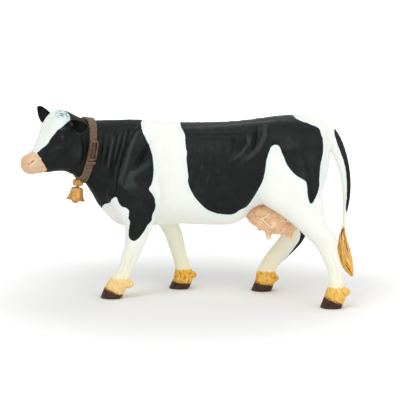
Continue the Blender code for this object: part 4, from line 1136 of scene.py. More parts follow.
def whole_coat(settings):
    """The sculpted skin of torso and legs in straight coordinates, with its hollows kept."""
    first = body_shares[0][0] * body_length
    last = collar_run_share * body_length + collar_overlap
    shapes = [closed_loft(body_surface(np.linspace(first, last, body_rows), 0.0, body_sides))]
    for _, shares, side in legs:
        shapes.append(closed_loft(limb_surface(shares, side, limb_rows, limb_sides)))
        x, y, z = shares[-tuft_row_from_end][:3]
        centre = (x * body_length + tuft_back, -side * y * stance_width, z * back_height - tuft_drop)
        shapes.append(closed_loft(blob(centre, tuft_radii)))
    shapes.append(closed_loft(path_tube(tail_shares[:tail_root_rows], 60, limb_sides, tail_root_outline)))
    mesh = voxel_skin("coat_skin", shapes, settings.coat_voxel)
    points, edges = eased(mesh, coat_smooth_rounds)
    upper = step_up(points[:, 2] / MM, *blend_heights)
    points = smoothed(points, edges, blend_rounds, 0.5 * upper)
    set_points(mesh, points)
    straight = straight_from_place(points)
    rise = swell(straight, body_swells) + swell(straight, leg_swells) + ribs(straight)
    rise += lines_raised(straight, body_lines) + lines_raised(straight, leg_lines())
    rise += coat_ripple * MM * ripple(points, coat_ripple_size * MM, 3) * upper
    rise *= settings.body_sculpt
    hair = 1.0 - step_up(points[:, 2] / MM, ochre_top - 0.9, ochre_top + 0.3)
    locks = ripple(points * np.array(lock_stretch), lock_size * MM, 8)
    locks = locks + fine_lock_share * ripple(points, fine_lock_size * MM, 9)
    points = points + mesh_normals(mesh) * (rise + hair * (hair_lift + hair_depth * locks) * MM)[:, None]
    points = kept_inside(smoothed(points, edges, last_rounds, last_share))
    set_points(mesh, points)
    # The sculpted rise joins the hollows: grooves get painted shade and ridges a painted highlight
    set_values(mesh, "hollow", hollow_of(mesh) - relief_light_share * rise / MM)
    set_points(mesh, straight_from_place(points))
    return mesh


def cut_along(mesh, planes):
    """Cuts a mesh along planes, each a place and a normal."""
    shape = bmesh.new()
    shape.from_mesh(mesh)
    for place, normal in planes:
        geometry = shape.verts[:] + shape.edges[:] + shape.faces[:]
        bmesh.ops.bisect_plane(shape, geom=geometry, dist=1e-7, plane_co=place, plane_no=normal)
    shape.to_mesh(mesh)
    shape.free()


def face_arrays(mesh):
    """A mesh's faces as arrays of point numbers, one array for each number of corners."""
    starts = read_rows(mesh.polygons, "loop_start", 1, np.int32)[:, 0]
    totals = read_rows(mesh.polygons, "loop_total", 1, np.int32)[:, 0]
    corners = read_rows(mesh.loops, "vertex_index", 1, np.int32)[:, 0]
    return [corners[starts[totals == total][:, None] + np.arange(total)] for total in np.unique(totals)]


def part_of_coat(mesh, name, keep):
    """One closed piece of the cut skin: its own faces, and flat caps over what was cut."""
    points = mesh_points(mesh)
    kept = [faces[keep(points[faces].mean(axis=1))] for faces in face_arrays(mesh)]
    kept = [faces for faces in kept if len(faces)]
    used = np.unique(np.concatenate([faces.ravel() for faces in kept]))
    number = np.zeros(len(points), dtype=int)
    number[used] = np.arange(len(used))
    piece = new_mesh(name, place_from_straight(points[used]), [number[faces] for faces in kept])
    set_values(piece, "hollow", get_values(mesh, "hollow")[used])
    shape = bmesh.new()
    shape.from_mesh(piece)
    caps = bmesh.ops.holes_fill(shape, edges=shape.edges[:], sides=0)["faces"]
    for cap in caps:
        for edge in cap.edges:
            edge.smooth = False
    bmesh.ops.triangulate(shape, faces=caps)
    bmesh.ops.recalc_face_normals(shape, faces=shape.faces[:])
    shape.to_mesh(piece)
    shape.free()
    return piece


# The cream low on the legs, in millimetres: sides between which the far side begins, heights, their
# rise on the far side, share on the near one. The far side's extra height and share of cream are
# painted shade. Runs between which the hair over the hooves gets pale
far_sides = (-2.0, 6.0)
cream_low, cream_high = 9.0, 40.0
cream_low_rise, cream_high_rise = 8.0, 6.0
cream_near_share = 0.62
pale_runs = (60.0, 75.0)


def paint_coat(mesh):
    """Keeps the painted regions of a body or leg piece for its material."""
    places = mesh_points(mesh)
    straight = straight_from_place(places)
    set_values(mesh, "black", black_by(places, straight))
    set_values(mesh, "muzzle", np.full(len(places), unpainted))
    set_values(mesh, "ochre", ochre_top - places[:, 2] / MM)
    # Painted shade: the far side's cream rises higher and is fuller than the near side's
    far = step_up(-straight[:, 1] / MM, *far_sides)
    limits = (cream_low + cream_low_rise * far, cream_high + cream_high_rise * far)
    low = 1.0 - step_up(places[:, 2] / MM, *limits)
    set_values(mesh, "low", low * (cream_near_share + (1.0 - cream_near_share) * far))
    set_values(mesh, "pale", step_up(straight[:, 0] / MM, *pale_runs) * (1.0 - far))
    set_values(mesh, "poll", np.zeros(len(places)))


def finish_piece(name, mesh, material, body, slot, *nodes):
    """Moves a mesh to the frame's place and makes it a piece with its material, the body it rides
    on and the nodes it stands for. The slot is not used."""
    set_points(mesh, mesh_points(mesh) + frame_step())
    mesh.materials.clear()
    mesh.materials.append(material)
    item = new_object(name, mesh)
    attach(item, body)
    if nodes:
        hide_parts(*nodes)


# Runs between which the underside belongs to the torso, in millimetres
rear_legs_to = 32.0
front_legs_from = 50.0


def make_coat(settings):
    """The two halves of the torso and the four legs, cut from one sculpted skin."""
    mesh = whole_coat(settings)
    front_seam = front_seam_share * back_height
    rear_seam = rear_seam_share * back_height
    planes = [((0.0, 0.0, seam), (0.0, 0.0, 1.0)) for seam in (front_seam, rear_seam)]
    cut_along(mesh, planes + [((0.0, 0.0, 0.0), (0.0, 1.0, 0.0))])

    def is_leg(centre, side, front):
        ahead = centre[:, 0] > front_legs_from * MM if front else centre[:, 0] < rear_legs_to * MM
        return (centre[:, 1] * side > 0.0) & ahead & (centre[:, 2] < (front_seam if front else rear_seam))

    material = coat_material(settings)
    for word, _, side in legs:
        front = "front" in word
        piece = part_of_coat(mesh, word + "_leg_coat", lambda centre: is_leg(centre, side, front))
        paint_coat(piece)
        finish_piece(word + "_leg_coat", piece, material, "figure", "light_coat", word + "_leg")
    for word, side in (("left", 1), ("right", -1)):

        def is_half(centre):
            return (centre[:, 1] * side > 0.0) & ~is_leg(centre, side, True) & ~is_leg(centre, side, False)

        piece = part_of_coat(mesh, word + "_side_coat", is_half)
        paint_coat(piece)
        nodes = ["torso_" + word + "_shell"] + (["torso_core"] if side > 0 else [])
        finish_piece(word + "_side_coat", piece, material, "figure", "dark_coat", *nodes)
    bpy.data.meshes.remove(mesh)


# The swelling under each ear: radius, step in along the ear and step back, in millimetres
ear_base_radius = 1.7
ear_base_in = 0.7
ear_base_back = 0.3


def ear_bases():
    """A short rounded swelling where each ear leaves the head."""
    shapes = []
    for side in (1, -1):
        place, out, _, face = ear_frame(side)
        centre = place - out * ear_base_in * MM - face * ear_base_back * MM
        shapes.append(closed_loft(blob(centre, (ear_base_radius * MM,) * 3)))
    return shapes


# How far from the eye, in millimetres, and by how much the paint's hollows, painted shade and highlight,
# are held back
eye_calm_reach = 2.6
eye_calm_share = 0.7


def make_head(settings):
    """The head from under the collar to the muzzle, sculpted and painted."""
    first = collar_run_share * body_length - collar_overlap
    last = body_shares[-1][0] * body_length
    shapes = [closed_loft(body_surface(np.linspace(first, last, head_rows), 0.0, body_sides))]
    shapes += ear_bases()
    mesh = voxel_skin("head_skin", shapes, settings.head_voxel)
    points, edges = eased(mesh, head_smooth_rounds)
    straight = straight_from_place(points)
    rise = swell(straight, head_swells) + lines_raised(straight, head_lines)
    rise += eye_lids(straight) + nostrils(straight) + poll_curls(straight)
    rise *= settings.head_sculpt
    points = points + mesh_normals(mesh) * rise[:, None]
    points = kept_inside(smoothed(points, edges, last_rounds, last_share))
    set_points(mesh, points)
    straight = straight_from_place(points)
    from_eye = np.linalg.norm(seen_from(straight, 0) - eye_centres(), axis=1)
    by_eye = np.exp(-(from_eye / (eye_calm_reach * MM)) ** 4)
    # The sculpted rise joins the hollows: grooves get painted shade and ridges a painted highlight
    hollow = hollow_of(mesh) - head_relief_light_share * rise / MM
    set_values(mesh, "hollow", hollow * (1.0 - eye_calm_share * by_eye))
    brow = far_brow_reach - np.linalg.norm(straight / MM - np.asarray(far_brow), axis=1)
    set_values(mesh, "black", np.maximum(head_black_by(straight), brow))
    set_values(mesh, "poll", poll_by(straight))
    set_values(mesh, "muzzle", muzzle_by(straight))
    set_values(mesh, "ochre", np.full(len(points), unpainted))
    set_values(mesh, "low", np.zeros(len(points)))
    finish_piece("head_coat", mesh, coat_material(settings), "figure", "dark_coat", "head")


def unit(vector):
    """A direction of length one."""
    return np.asarray(vector, dtype=float) / np.linalg.norm(vector)


def head_place(shares, side, aim):
    """A place on one side of the head from run, side and height shares, the direction ahead and
    the direction of an aim given ahead, outward and up."""
    centre, ahead, left = spine_frame(np.array([shares[0] * body_length]))
    place = centre[0] + left[0] * (side * shares[1]) * barrel_width / 2.0
    place[2] = shares[2] * back_height
    return place, ahead[0], unit(ahead[0] * aim[0] + left[0] * side * aim[1] + np.array([0.0, 0.0, aim[2]]))


def ear_frame(side):
    """An ear's root, its direction out to the tip, its width direction and its face."""
    roll = ear_rolls[side]
    place, ahead, out = head_place(ear_root_share, side, ear_aims[side])
    face = unit(ahead - out * np.dot(ahead, out))
    wide = np.cross(out, face)
    rolled_face = face * math.cos(roll) + wide * math.sin(roll)
    rolled_wide = wide * math.cos(roll) - face * math.sin(roll)
    return place, out, rolled_wide, rolled_face


# Inside the ears: depth and number of folds, how deep the dish goes, and the leaf's thickness as a
# share of its rim's. Depths are in millimetres
ear_fold_depth = 0.14
ear_fold_turns = 9.0
ear_dish_depth = 0.95
ear_leaf_share = 0.55


def make_ears(settings):
    """Leaf-shaped ears with a deep cup, folds inside it and a rolled rim: half width times cosine
    across, and a thickness with a cup that grows with the square of the width."""
    material = ear_material(settings)
    rows, sides = 90, 96
    for side, word in ((1, "left"), (-1, "right")):
        place, out, wide, face = ear_frame(side)
        profile = spaced_rows(ear_profile_shares, rows)[:, :, None]
        angle = circle(sides)[None, :]
        across_share = np.cos(angle)
        across = across_share * profile[:, 1] * ear_width / 2.0
        rim_share = ear_leaf_share + (1.0 - ear_leaf_share) * np.abs(across_share) ** 6
        thick = np.sin(angle) * profile[:, 2] * ear_thickness / 2.0 * rim_share
        cup = 2.0 * ear_cup_depth * (2.0 * across / ear_width) ** 2
        front = np.sin(angle) > 0.0
        inner = np.where(front, 1.0, 0.0) * np.sin(math.pi * np.clip(profile[:, 0], 0.0, 1.0))
        folds = ear_fold_depth * MM * np.cos(across_share * ear_fold_turns)
        folds = folds * inner * (1.0 - across_share ** 2)
        dish = -ear_dish_depth * MM * inner * (1.0 - across_share ** 2)
        depth = thick + cup + folds + dish
        along = profile[:, 0] * ear_length + 0.0 * angle
        grid = place + along[..., None] * out + across[..., None] * wide + depth[..., None] * face
        points, faces = closed_loft(grid)
        mesh = new_mesh(word + "_ear_leaf", kept_inside(points, 0.1 * MM), faces)
        # Where the painted shade inside the cup goes
        inside = np.where(front, 1.0 - across_share ** 6, 0.0).repeat(rows, axis=0)
        set_values(mesh, "inside", np.concatenate([inside.ravel(), [0.0, 0.0]]))
        # Where the painted highlight along the rim goes
        rim = (np.abs(across_share) ** 10).repeat(rows, axis=0)
        set_values(mesh, "rim", np.concatenate([rim.ravel(), [0.0, 1.0]]))
        set_values(mesh, "hollow", hollow_of(mesh))
        finish_piece(word + "_ear_leaf", mesh, material, "figure", "dark_coat", word + "_ear")


# The cornea: how far it swells, and how wide in radians
cornea_rise = 0.08
cornea_reach = 0.6


def make_eyes(settings):
    """Glossy eyeballs with a slightly raised cornea: a sphere whose radius swells towards its aim."""
    material = eye_material(settings)
    for side, word in ((1, "left"), (-1, "right")):
        place, _, aim = head_place(eye_place_share, side, eye_aim)
        first = unit(np.cross(aim, (0.0, 0.0, 1.0)))
        second = np.cross(aim, first)
        latitude = np.linspace(-0.5, 0.5, 42)[1:-1, None] * math.pi
        angle = circle(48)[None, :]
        bulge = 1.0 + cornea_rise * np.exp(-((math.pi / 2.0 - latitude) / cornea_reach) ** 2)
        radius = eyeball_diameter / 2.0 * bulge
        grid = rings_round(0.0, radius * np.cos(latitude), angle, first, second)
        grid = place + grid + (radius * np.sin(latitude) + 0.0 * angle)[..., None] * aim
        mesh = new_mesh(word + "_eyeball", *closed_loft(grid))
        gap = np.linalg.norm(np.cross(mesh_points(mesh) - place, aim), axis=1) / eyeball_diameter
        set_values(mesh, "ring", gap)
        finish_piece(word + "_eyeball", mesh, material, "figure", "eye_black", word + "_eye")


# On the hooves: growth rings' depth in millimetres and number, notches' shares and widths, and the
# heel bulbs' rise, place and reach
growth_ring_depth = 0.025
growth_rings = 5.0
toe_notch_share = 1.25
heel_notch_share = 0.5
toe_notch_width = 0.62
heel_notch_width = 0.9
heel_bulb_rise = 0.10
heel_bulb_place = 0.55
heel_bulb_reach = 0.3


def make_hooves(settings):
    """Cloven hooves with growth rings: rings from coronet to sole whose outline is notched at the
    toe and, more lightly, at the heel."""
    material = hoof_material(settings)
    rows, sides = 60, 120
    for word, shares, side in legs:
        row = np.asarray(shares[-1])
        step = np.linspace(0.0, 1.0, rows)[:, None]
        angle = circle(sides)[None, :]
        across, upward = squircle(angle, limb_squareness, limb_squareness)
        turn = np.abs(np.where(angle > math.pi, angle - 2.0 * math.pi, angle))
        toe_notch = np.exp(-(((math.pi - turn) / (cleft_spread * toe_notch_width)) ** 2))
        heel_notch = np.exp(-((turn / (cleft_spread * heel_notch_width)) ** 2))
        round_edge = sole_edge * np.clip((step - 0.9) / 0.1, 0.0, 1.0) ** 2
        rings = growth_ring_depth * MM * np.cos(step * 2.0 * math.pi * growth_rings) * (1.0 - step)
        half_long, half_wide = (
            (1.0 - step) * coronet * limb_size * hoof_flare_share + step * sole / 2.0 - round_edge + rings
            for coronet, sole in ((row[3], hoof_length), (row[4], hoof_width))
        )
        deep = np.minimum(1.0, cleft_start_share + step)
        notch = toe_notch * toe_notch_share - heel_notch * heel_notch_share
        long = across * half_long + notch * cleft_depth * deep
        bulge = np.exp(-((np.abs(upward) - heel_bulb_place) / heel_bulb_reach) ** 2)
        bulb = 1.0 + heel_bulb_rise * bulge * (across > 0.0) * step
        x = row[0] * body_length - step * hoof_forward_share * hoof_length + long * bulb
        y = -side * row[1] * stance_width + upward * half_wide
        top = row[2] * back_height + 0.25 * MM
        z = np.maximum((top + row[5] * long) * (1.0 - step), 0.0)
        mesh = new_mesh(word + "_hoof_horn", *closed_loft(np.stack([x, y, z], axis=-1)))
        set_values(mesh, "down", np.concatenate([(step + 0.0 * angle).ravel(), [0.0, 1.0]]))
        finish_piece(word + "_hoof_horn", mesh, material, "figure", "hoof_brown", word + "_hoof")


def udder_surface(rows, sides):
    """The udder's bag: squircle slices from front to rear."""
    row = spaced_rows(udder_shares, rows)[:, :, None]
    across, upward = squircle(circle(sides)[None, :], 2.5, 2.5)
    middle = (row[:, 1] + row[:, 2]) / 2.0 * back_height
    y = across * row[:, 3] * udder_width / 2.0
    z = middle + upward * (row[:, 1] - row[:, 2]) / 2.0 * back_height
    return np.stack([row[:, 0] * body_length + 0.0 * across, y, z], axis=-1)


def teat_surface(x_share, y_share):
    """A teat: circles whose radius follows its profile, with a rounded and slightly flared end."""
    rows = spaced_rows(teat_profile_shares, 40)[:, :, None]
    bottom = rows_where(udder_shares, 0, [x_share])[0, 2] * back_height
    angle = circle(32)[None, :]
    x = x_share * body_length + np.cos(angle) * rows[:, 1] * teat_diameter
    y = y_share * udder_width + np.sin(angle) * rows[:, 1] * teat_diameter
    return np.stack([x, y, bottom + rows[:, 0] * teat_length + 0.0 * angle], axis=-1)


# Veins on the udder's sides: rise, width and points of x, side and height, all in millimetres
vein_lines = (
    (0.16, 0.36, ((24.4, 4.8, 36.4), (26.6, 7.0, 34.6), (29.0, 7.8, 33.0), (32.0, 8.0, 31.4))),
    (0.30, 0.38, ((25.6, 7.4, 37.6), (29.0, 8.2, 36.6), (32.0, 8.6, 35.9), (34.0, 8.7, 37.0),
        (36.4, 8.7, 39.4))),
    (0.28, 0.36, ((32.0, 8.6, 35.9), (34.0, 8.7, 34.2), (35.6, 8.6, 32.6), (37.2, 8.4, 31.0))),
    (0.10, 0.30, ((38.6, 8.9, 37.6), (40.2, 8.9, 36.6), (42.6, 8.6, 34.4), (44.6, 7.6, 33.4))),
    (0.16, 0.32, ((29.0, 8.2, 36.6), (30.2, 8.0, 34.4), (31.2, 7.6, 32.8))),
)

# Udder swells: side rule, x, side, height, reaches, rise
udder_swells = (
    (0, 34.0, 5.0, 31.0, 4.0, 4.0, 3.0, 0.45),
    (0, 42.6, 5.0, 31.0, 3.4, 4.0, 3.0, 0.40),
    (0, 41.0, 8.6, 37.6, 2.0, 2.0, 1.6, 0.35),
    (0, 38.2, 8.0, 33.0, 1.4, 3.0, 4.0, -0.30),
    (0, 30.0, 6.0, 32.4, 2.4, 2.4, 1.4, 0.25),
)

# The rises at which a vein is fully painted and its seam is gone, the seam's place and width, the
# cleft between the udder's halves, and the heights where the teats' paint begins
vein_full, vein_fade = 0.30, 0.15
seam_gap_share, seam_width = 1.9, 0.22
udder_smooth_rounds = 6
udder_cleft_depth = 0.35
udder_cleft_reach = 0.9
udder_cleft_top = 34.0
teat_heights = (27.4, 28.6)


def make_udder(settings):
    """The bag with its quarters, veins and teats, joined and smoothed as one skin."""
    shapes = [closed_loft(udder_surface(90, 80))]
    shapes += [closed_loft(teat_surface(*share)) for share in teat_shares]
    mesh = voxel_skin("udder_skin", shapes, settings.udder_voxel)
    points, edges = eased(mesh, udder_smooth_rounds)
    rise = swell(points, udder_swells)
    cleft = udder_cleft_depth * MM * np.exp(-(points[:, 1] / (udder_cleft_reach * MM)) ** 2)
    rise -= cleft * (points[:, 2] < udder_cleft_top * MM)
    vein = np.zeros(len(points))
    seam = np.zeros(len(points))
    for height, width, line in vein_lines:
        gap, _ = line_gap(seen_from(points, 0), np.asarray(line) * MM)
        vein = np.maximum(vein, height * np.exp(-(gap / (width * MM)) ** 2))
        seam = np.maximum(seam, np.exp(-((gap / MM - seam_gap_share * width) / seam_width) ** 2))
    points = points + mesh_normals(mesh) * (rise + vein * MM)[:, None]
    points = smoothed(points, edges, last_rounds, last_share)
    set_points(mesh, points)
    set_values(mesh, "vein", vein / vein_full)
    set_values(mesh, "seam", seam * (1.0 - np.clip(vein / vein_fade, 0.0, 1.0)))
    set_values(mesh, "teat", 1.0 - step_up(points[:, 2] / MM, *teat_heights))
    set_values(mesh, "hollow", hollow_of(mesh))
    finish_piece("udder_bag", mesh, udder_material(settings), "figure", "udder_pink", "udder")


def tail_path(row):
    """Places along the tail, and the directions square to it: back in its plane, and sideways."""
    path = np.stack([row[:, 0] * body_length, row[:, 1] * body_length, row[:, 2] * back_height], axis=1)
    along = np.gradient(path, axis=0)
    along = along / np.linalg.norm(along, axis=1)[:, None]
    side = np.array([0.0, 1.0, 0.0])
    return path, np.cross(along, side), side


def path_tube(shares, rows, sides, outline):
    """Rings square to a path in the plane of the cow's middle: radius times a share that may change
    along the path and round it."""
    row = spaced_rows(shares, rows)
    path, normal, side = tail_path(row)
    angle = circle(sides)[None, :]
    radius = row[:, 3:4] * tail_size * outline(np.linspace(0.0, 1.0, rows)[:, None], angle)
    return rings_round(path[:, None, :], radius, angle, normal[:, None, :], side)


# The tail's root inside the coat's skin: share of its own radius, and how far it sinks under that
tail_root_share = 1.10
tail_root_sink = 0.34


def tail_root_outline(down, angle):
    """The tail's radius where it leaves the rump: a little over its own, then sinking under it."""
    return tail_root_share - tail_root_sink * down ** 1.5 + 0.0 * angle


# The tail's joints, the ridge along its front and rear, and the heights where its cream ends
tail_joints = 22.0
tail_joint_rise = 0.018
tail_ridge_rise = 0.10
tail_cream_heights = (30.0, 62.0)


def make_tail(settings):
    """The tail with faint joints, painted with a dark stripe down its rear on both sides."""

    def outline(down, angle):
        joints = 1.0 + tail_joint_rise * np.cos(down * 2.0 * math.pi * tail_joints) * (1.0 - down)
        return joints * (1.0 + tail_ridge_rise * np.cos(angle) ** 4 * (1.0 - down))

    grid = path_tube(tail_shares + (tail_tip_share,), 220, 48, outline)
    mesh = new_mesh("tail_coat", *closed_loft(grid))
    points = mesh_points(mesh)
    height = points[:, 2] / MM
    near = seen_from(seen_from(points, 0), -1)
    set_values(mesh, "black", inside_by(to_pixels(near), tail_stripe_pixels) / (pixels_per_metre * MM))
    set_values(mesh, "muzzle", np.full(len(points), unpainted))
    hair_top = tail_shares[-1][2] * back_height / MM
    set_values(mesh, "ochre", hair_top + 0.3 - height)
    set_values(mesh, "low", 1.0 - step_up(height, *tail_cream_heights))
    set_values(mesh, "hollow", hollow_of(mesh))
    finish_piece("tail_coat", mesh, coat_material(settings), "figure", "light_coat", "tail")


# The tail's hair: its strands, and the strand number and the painted shade of the core between them
strand_count = 46
strand_points = 40
strand_sides = 8
core_strand = 0.02
core_shade = 0.30
core_radius_share = 0.80
flute_depth = 0.055
latest_start = 0.30
earliest_end = 0.80
strand_spread = 0.25
strand_wind = 1.1
strand_wave = 0.22
strand_reaches = (0.78, 0.97)
strand_radii = (0.26, 0.44)
# Painted highlight: how much lighter the strands are at the root
root_highlight = 0.30


def make_switch(settings):
    """The tail's hair: a fluted core and tapered strands that wind round it. A strand is a tube
    whose middle keeps a share of the core's radius while its angle turns slowly."""

    def outline(down, angle):
        flutes = np.cos(13.0 * angle + 3.6 * down) + 0.6 * np.cos(7.0 * angle - 2.2 * down)
        return core_radius_share * (1.0 + flute_depth * flutes * np.sin(math.pi * down) ** 0.5)

    shapes = [closed_loft(path_tube(switch_shares, 90, 120, outline))]
    draw = np.random.default_rng(11)
    last_row = len(switch_shares) - 1.0
    values = [np.full(len(shapes[0][0]), core_strand)]
    shade = [np.full(len(shapes[0][0]), core_shade)]
    for number in range(strand_count):
        start = draw.uniform(0.0, latest_start)
        end = draw.uniform(earliest_end, 1.0) if number % 5 else 1.0
        down = np.linspace(start, end, strand_points)
        row = curve_rows(switch_shares, down * last_row)
        path, normal, side = tail_path(row)
        angle = number / strand_count * 2.0 * math.pi + draw.uniform(-strand_spread, strand_spread)
        angle = angle + strand_wind * down
        angle = angle + strand_wave * np.sin(down * 9.0 + draw.uniform(0.0, 6.0))
        reach = row[:, 3] * tail_size * draw.uniform(*strand_reaches)
        centre = rings_round(path, reach, angle, normal, side)
        taper = np.clip((down - start) / (end - start) * 0.90 + 0.07, 0.0, 1.0)
        radius = draw.uniform(*strand_radii) * MM * np.sin(math.pi * taper) ** 0.7
        turn = circle(strand_sides)[None, :]
        grid = rings_round(centre[:, None, :], radius[:, None], turn, normal[:, None, :], side)
        shape = closed_loft(grid)
        shapes.append(shape)
        # Painted highlight towards the root
        paler = root_highlight * (1.0 - down).repeat(strand_sides)
        values.append(np.concatenate([draw.uniform(0.0, 0.85) + paler, [0.5, 0.5]]))
        shade.append(np.zeros(len(shape[0])))
    mesh = new_mesh("tail_hair", *merged(shapes))
    set_values(mesh, "strand", np.concatenate(values))
    set_values(mesh, "hollow", np.concatenate(shade))
    finish_piece("tail_hair", mesh, switch_material(settings), "figure", "switch_ochre", "tail_switch")


def strap_section(half, inner, outer, rounding, points=28):
    """A rounded rectangle across the strap: offset along the neck and distance out of it."""
    across, upward = squircle(circle(points), rounding, rounding)
    return across * half, (inner + outer) / 2.0 + upward * (outer - inner) / 2.0


def loops_round_neck(offsets, outsets, sides):
    """Loops round the neck, one for each pair of offset along it and distance out of it."""
    loops = []
    for offset, outset in zip(offsets, outsets):
        run = np.array([collar_run_share * body_length + offset])
        loops.append(body_surface(run, outset, sides)[0])
    return np.stack(loops, axis=1)


def make_strap(settings):
    """The strap round the neck with rounded edges, slimmer under the throat."""
    outer = fit_gap + strap_thickness
    offsets, outsets = strap_section(strap_width / 2.0, strap_inside, outer, 5.0)
    grid = loops_round_neck(offsets, outsets, 360)
    slim = loops_round_neck(offsets * strap_slim_share - strap_shift, outsets + strap_sag, 360)
    low = 1.0 - step_up(grid[..., 2:3] / MM, *strap_slim_heights)
    grid = grid * (1.0 - low) + slim * low
    mesh = new_mesh("strap_leather", *tube_loop(grid))
    set_values(mesh, "edge", np.tile(np.abs(offsets) / (strap_width / 2.0), grid.shape[0]))
    finish_piece("strap_leather", mesh, strap_material(settings), "figure", "strap_brown", "collar_strap")


def left_places(offsets, outsets, heights):
    """Places on the neck's left side: on the loop at each offset and outset, the point between two
    neighbours whose height is the one asked for."""
    sides = 720
    loops = body_surface(collar_run_share * body_length + offsets, outsets[:, None], sides)
    rising = np.roll(loops, sides // 4, axis=1)[:, :sides // 2]
    above = np.clip((rising[:, :, 2] < heights[:, None]).sum(axis=1), 1, sides // 2 - 1)
    rows = np.arange(len(offsets))
    low, high = rising[rows, above - 1], rising[rows, above]
    return low + (high - low) * ((heights - low[:, 2]) / (high[:, 2] - low[:, 2]))[:, None]


def bar_on_strap(ends, half, inner, outer, count=24):
    """A rounded bar that follows the strap's left side from one end to the other. Each ring is a
    squircle across the bar's way and out of the neck."""
    ends = np.asarray(ends)
    steps = np.linspace(0.0, 1.0, count)[:, None]
    middle = ends[0] * (1.0 - steps) + ends[1] * steps
    way = unit(ends[1] - ends[0])
    cross = np.array([-way[1], way[0]])
    taper = np.clip(np.minimum(steps, 1.0 - steps) * count / 2.0, 0.35, 1.0) ** 0.5
    across, upward = squircle(circle(16), 3.0, 3.0)
    spots = middle[:, None, :] + cross * (across * half * taper)[..., None]
    reach = (inner + outer) / 2.0 + upward * (outer - inner) / 2.0 * taper
    places = left_places(spots[..., 0].ravel(), reach.ravel(), spots[..., 1].ravel())
    return closed_loft(places.reshape(count, 16, 3))


def make_buckle(settings):
    """The buckle's frame of four rounded bars with its tongue, and the keeper below it."""
    material = buckle_material(settings)
    middle = buckle_height_share * back_height
    half_high = buckle_length / 2.0 - buckle_bar / 2.0
    half_wide = buckle_width / 2.0 - buckle_bar / 2.0
    inner = fit_gap + strap_thickness - 0.1 * MM
    outer = 2.0 * fit_gap + strap_thickness + buckle_thickness
    corners = [(-half_wide, middle - half_high), (half_wide, middle - half_high)]
    corners += [(half_wide, middle + half_high), (-half_wide, middle + half_high)]
    shapes = []
    for ends in zip(corners, corners[1:] + corners[:1]):
        shapes.append(bar_on_strap(ends, buckle_bar / 2.0, inner, outer))
    tongue = ((0.0, middle - half_high - 0.2 * MM), (0.0, middle + half_high * 0.9))
    shapes.append(bar_on_strap(tongue, buckle_bar * tongue_share, outer - 0.5 * MM, outer + 0.15 * MM))
    mesh = new_mesh("buckle_frame", *merged(shapes))
    finish_piece("buckle_frame", mesh, material, "figure", "buckle_red", "collar_buckle")
    height = middle - buckle_length / 2.0 - fit_gap - keeper_length / 2.0
    ends = ((-buckle_width / 2.0, height), (buckle_width / 2.0, height))
    mesh = new_mesh("keeper_loop", *bar_on_strap(ends, keeper_length / 2.0, inner, outer))
    finish_piece("keeper_loop", mesh, material, "figure", "buckle_red", "collar_keeper")


def pin_place():
    """The bell pin's middle from the frame's joint, in the design's place, and its directions."""
    joint = next(row for row in frame["record"]["behaviour"]["joints"] if row["name"] == "bell_swing")
    pivot = np.asarray(joint["pos_m"]) - frame_step()
    _, ahead, left = spine_frame(np.array([collar_run_share * body_length]))
    return pivot, ahead[0], left[0]


def bell_directions():
    """The bell's own directions: ahead, left and up, leaned forward."""
    pivot, ahead, left = pin_place()
    up = np.array([0.0, 0.0, 1.0])
    bell_up = up * math.cos(bell_lean) - ahead * math.sin(bell_lean)
    bell_ahead = ahead * math.cos(bell_lean) + up * math.sin(bell_lean)
    return pivot, bell_ahead, left, bell_up


def turned(profile, sides, place, ahead, left, up):
    """A profile of radius and height carried round an axis."""
    radius, height = profile[:, 0:1], profile[:, 1:2]
    angle = circle(sides)[None, :]
    grid = rings_round(0.0, radius, angle, ahead, left)
    return place + grid + (height + 0.0 * angle)[..., None] * up


def plate_through(outline, ahead, up, left, place, inner, outer, bevel):
    """A flat outline given ahead and up, carried through a thickness along left with soft edges."""
    middle = outline.mean(axis=0)
    away = outline - middle
    length = np.maximum(np.linalg.norm(away, axis=1), 1e-9)[:, None]
    layers = []
    for reach, inset in ((inner, bevel), (inner + bevel, 0.0), (outer - bevel, 0.0), (outer, bevel)):
        ring = outline - away / length * inset
        layers.append(place + ring[:, 0:1] * ahead + ring[:, 1:2] * up + reach * left)
    return closed_loft(np.asarray(layers))


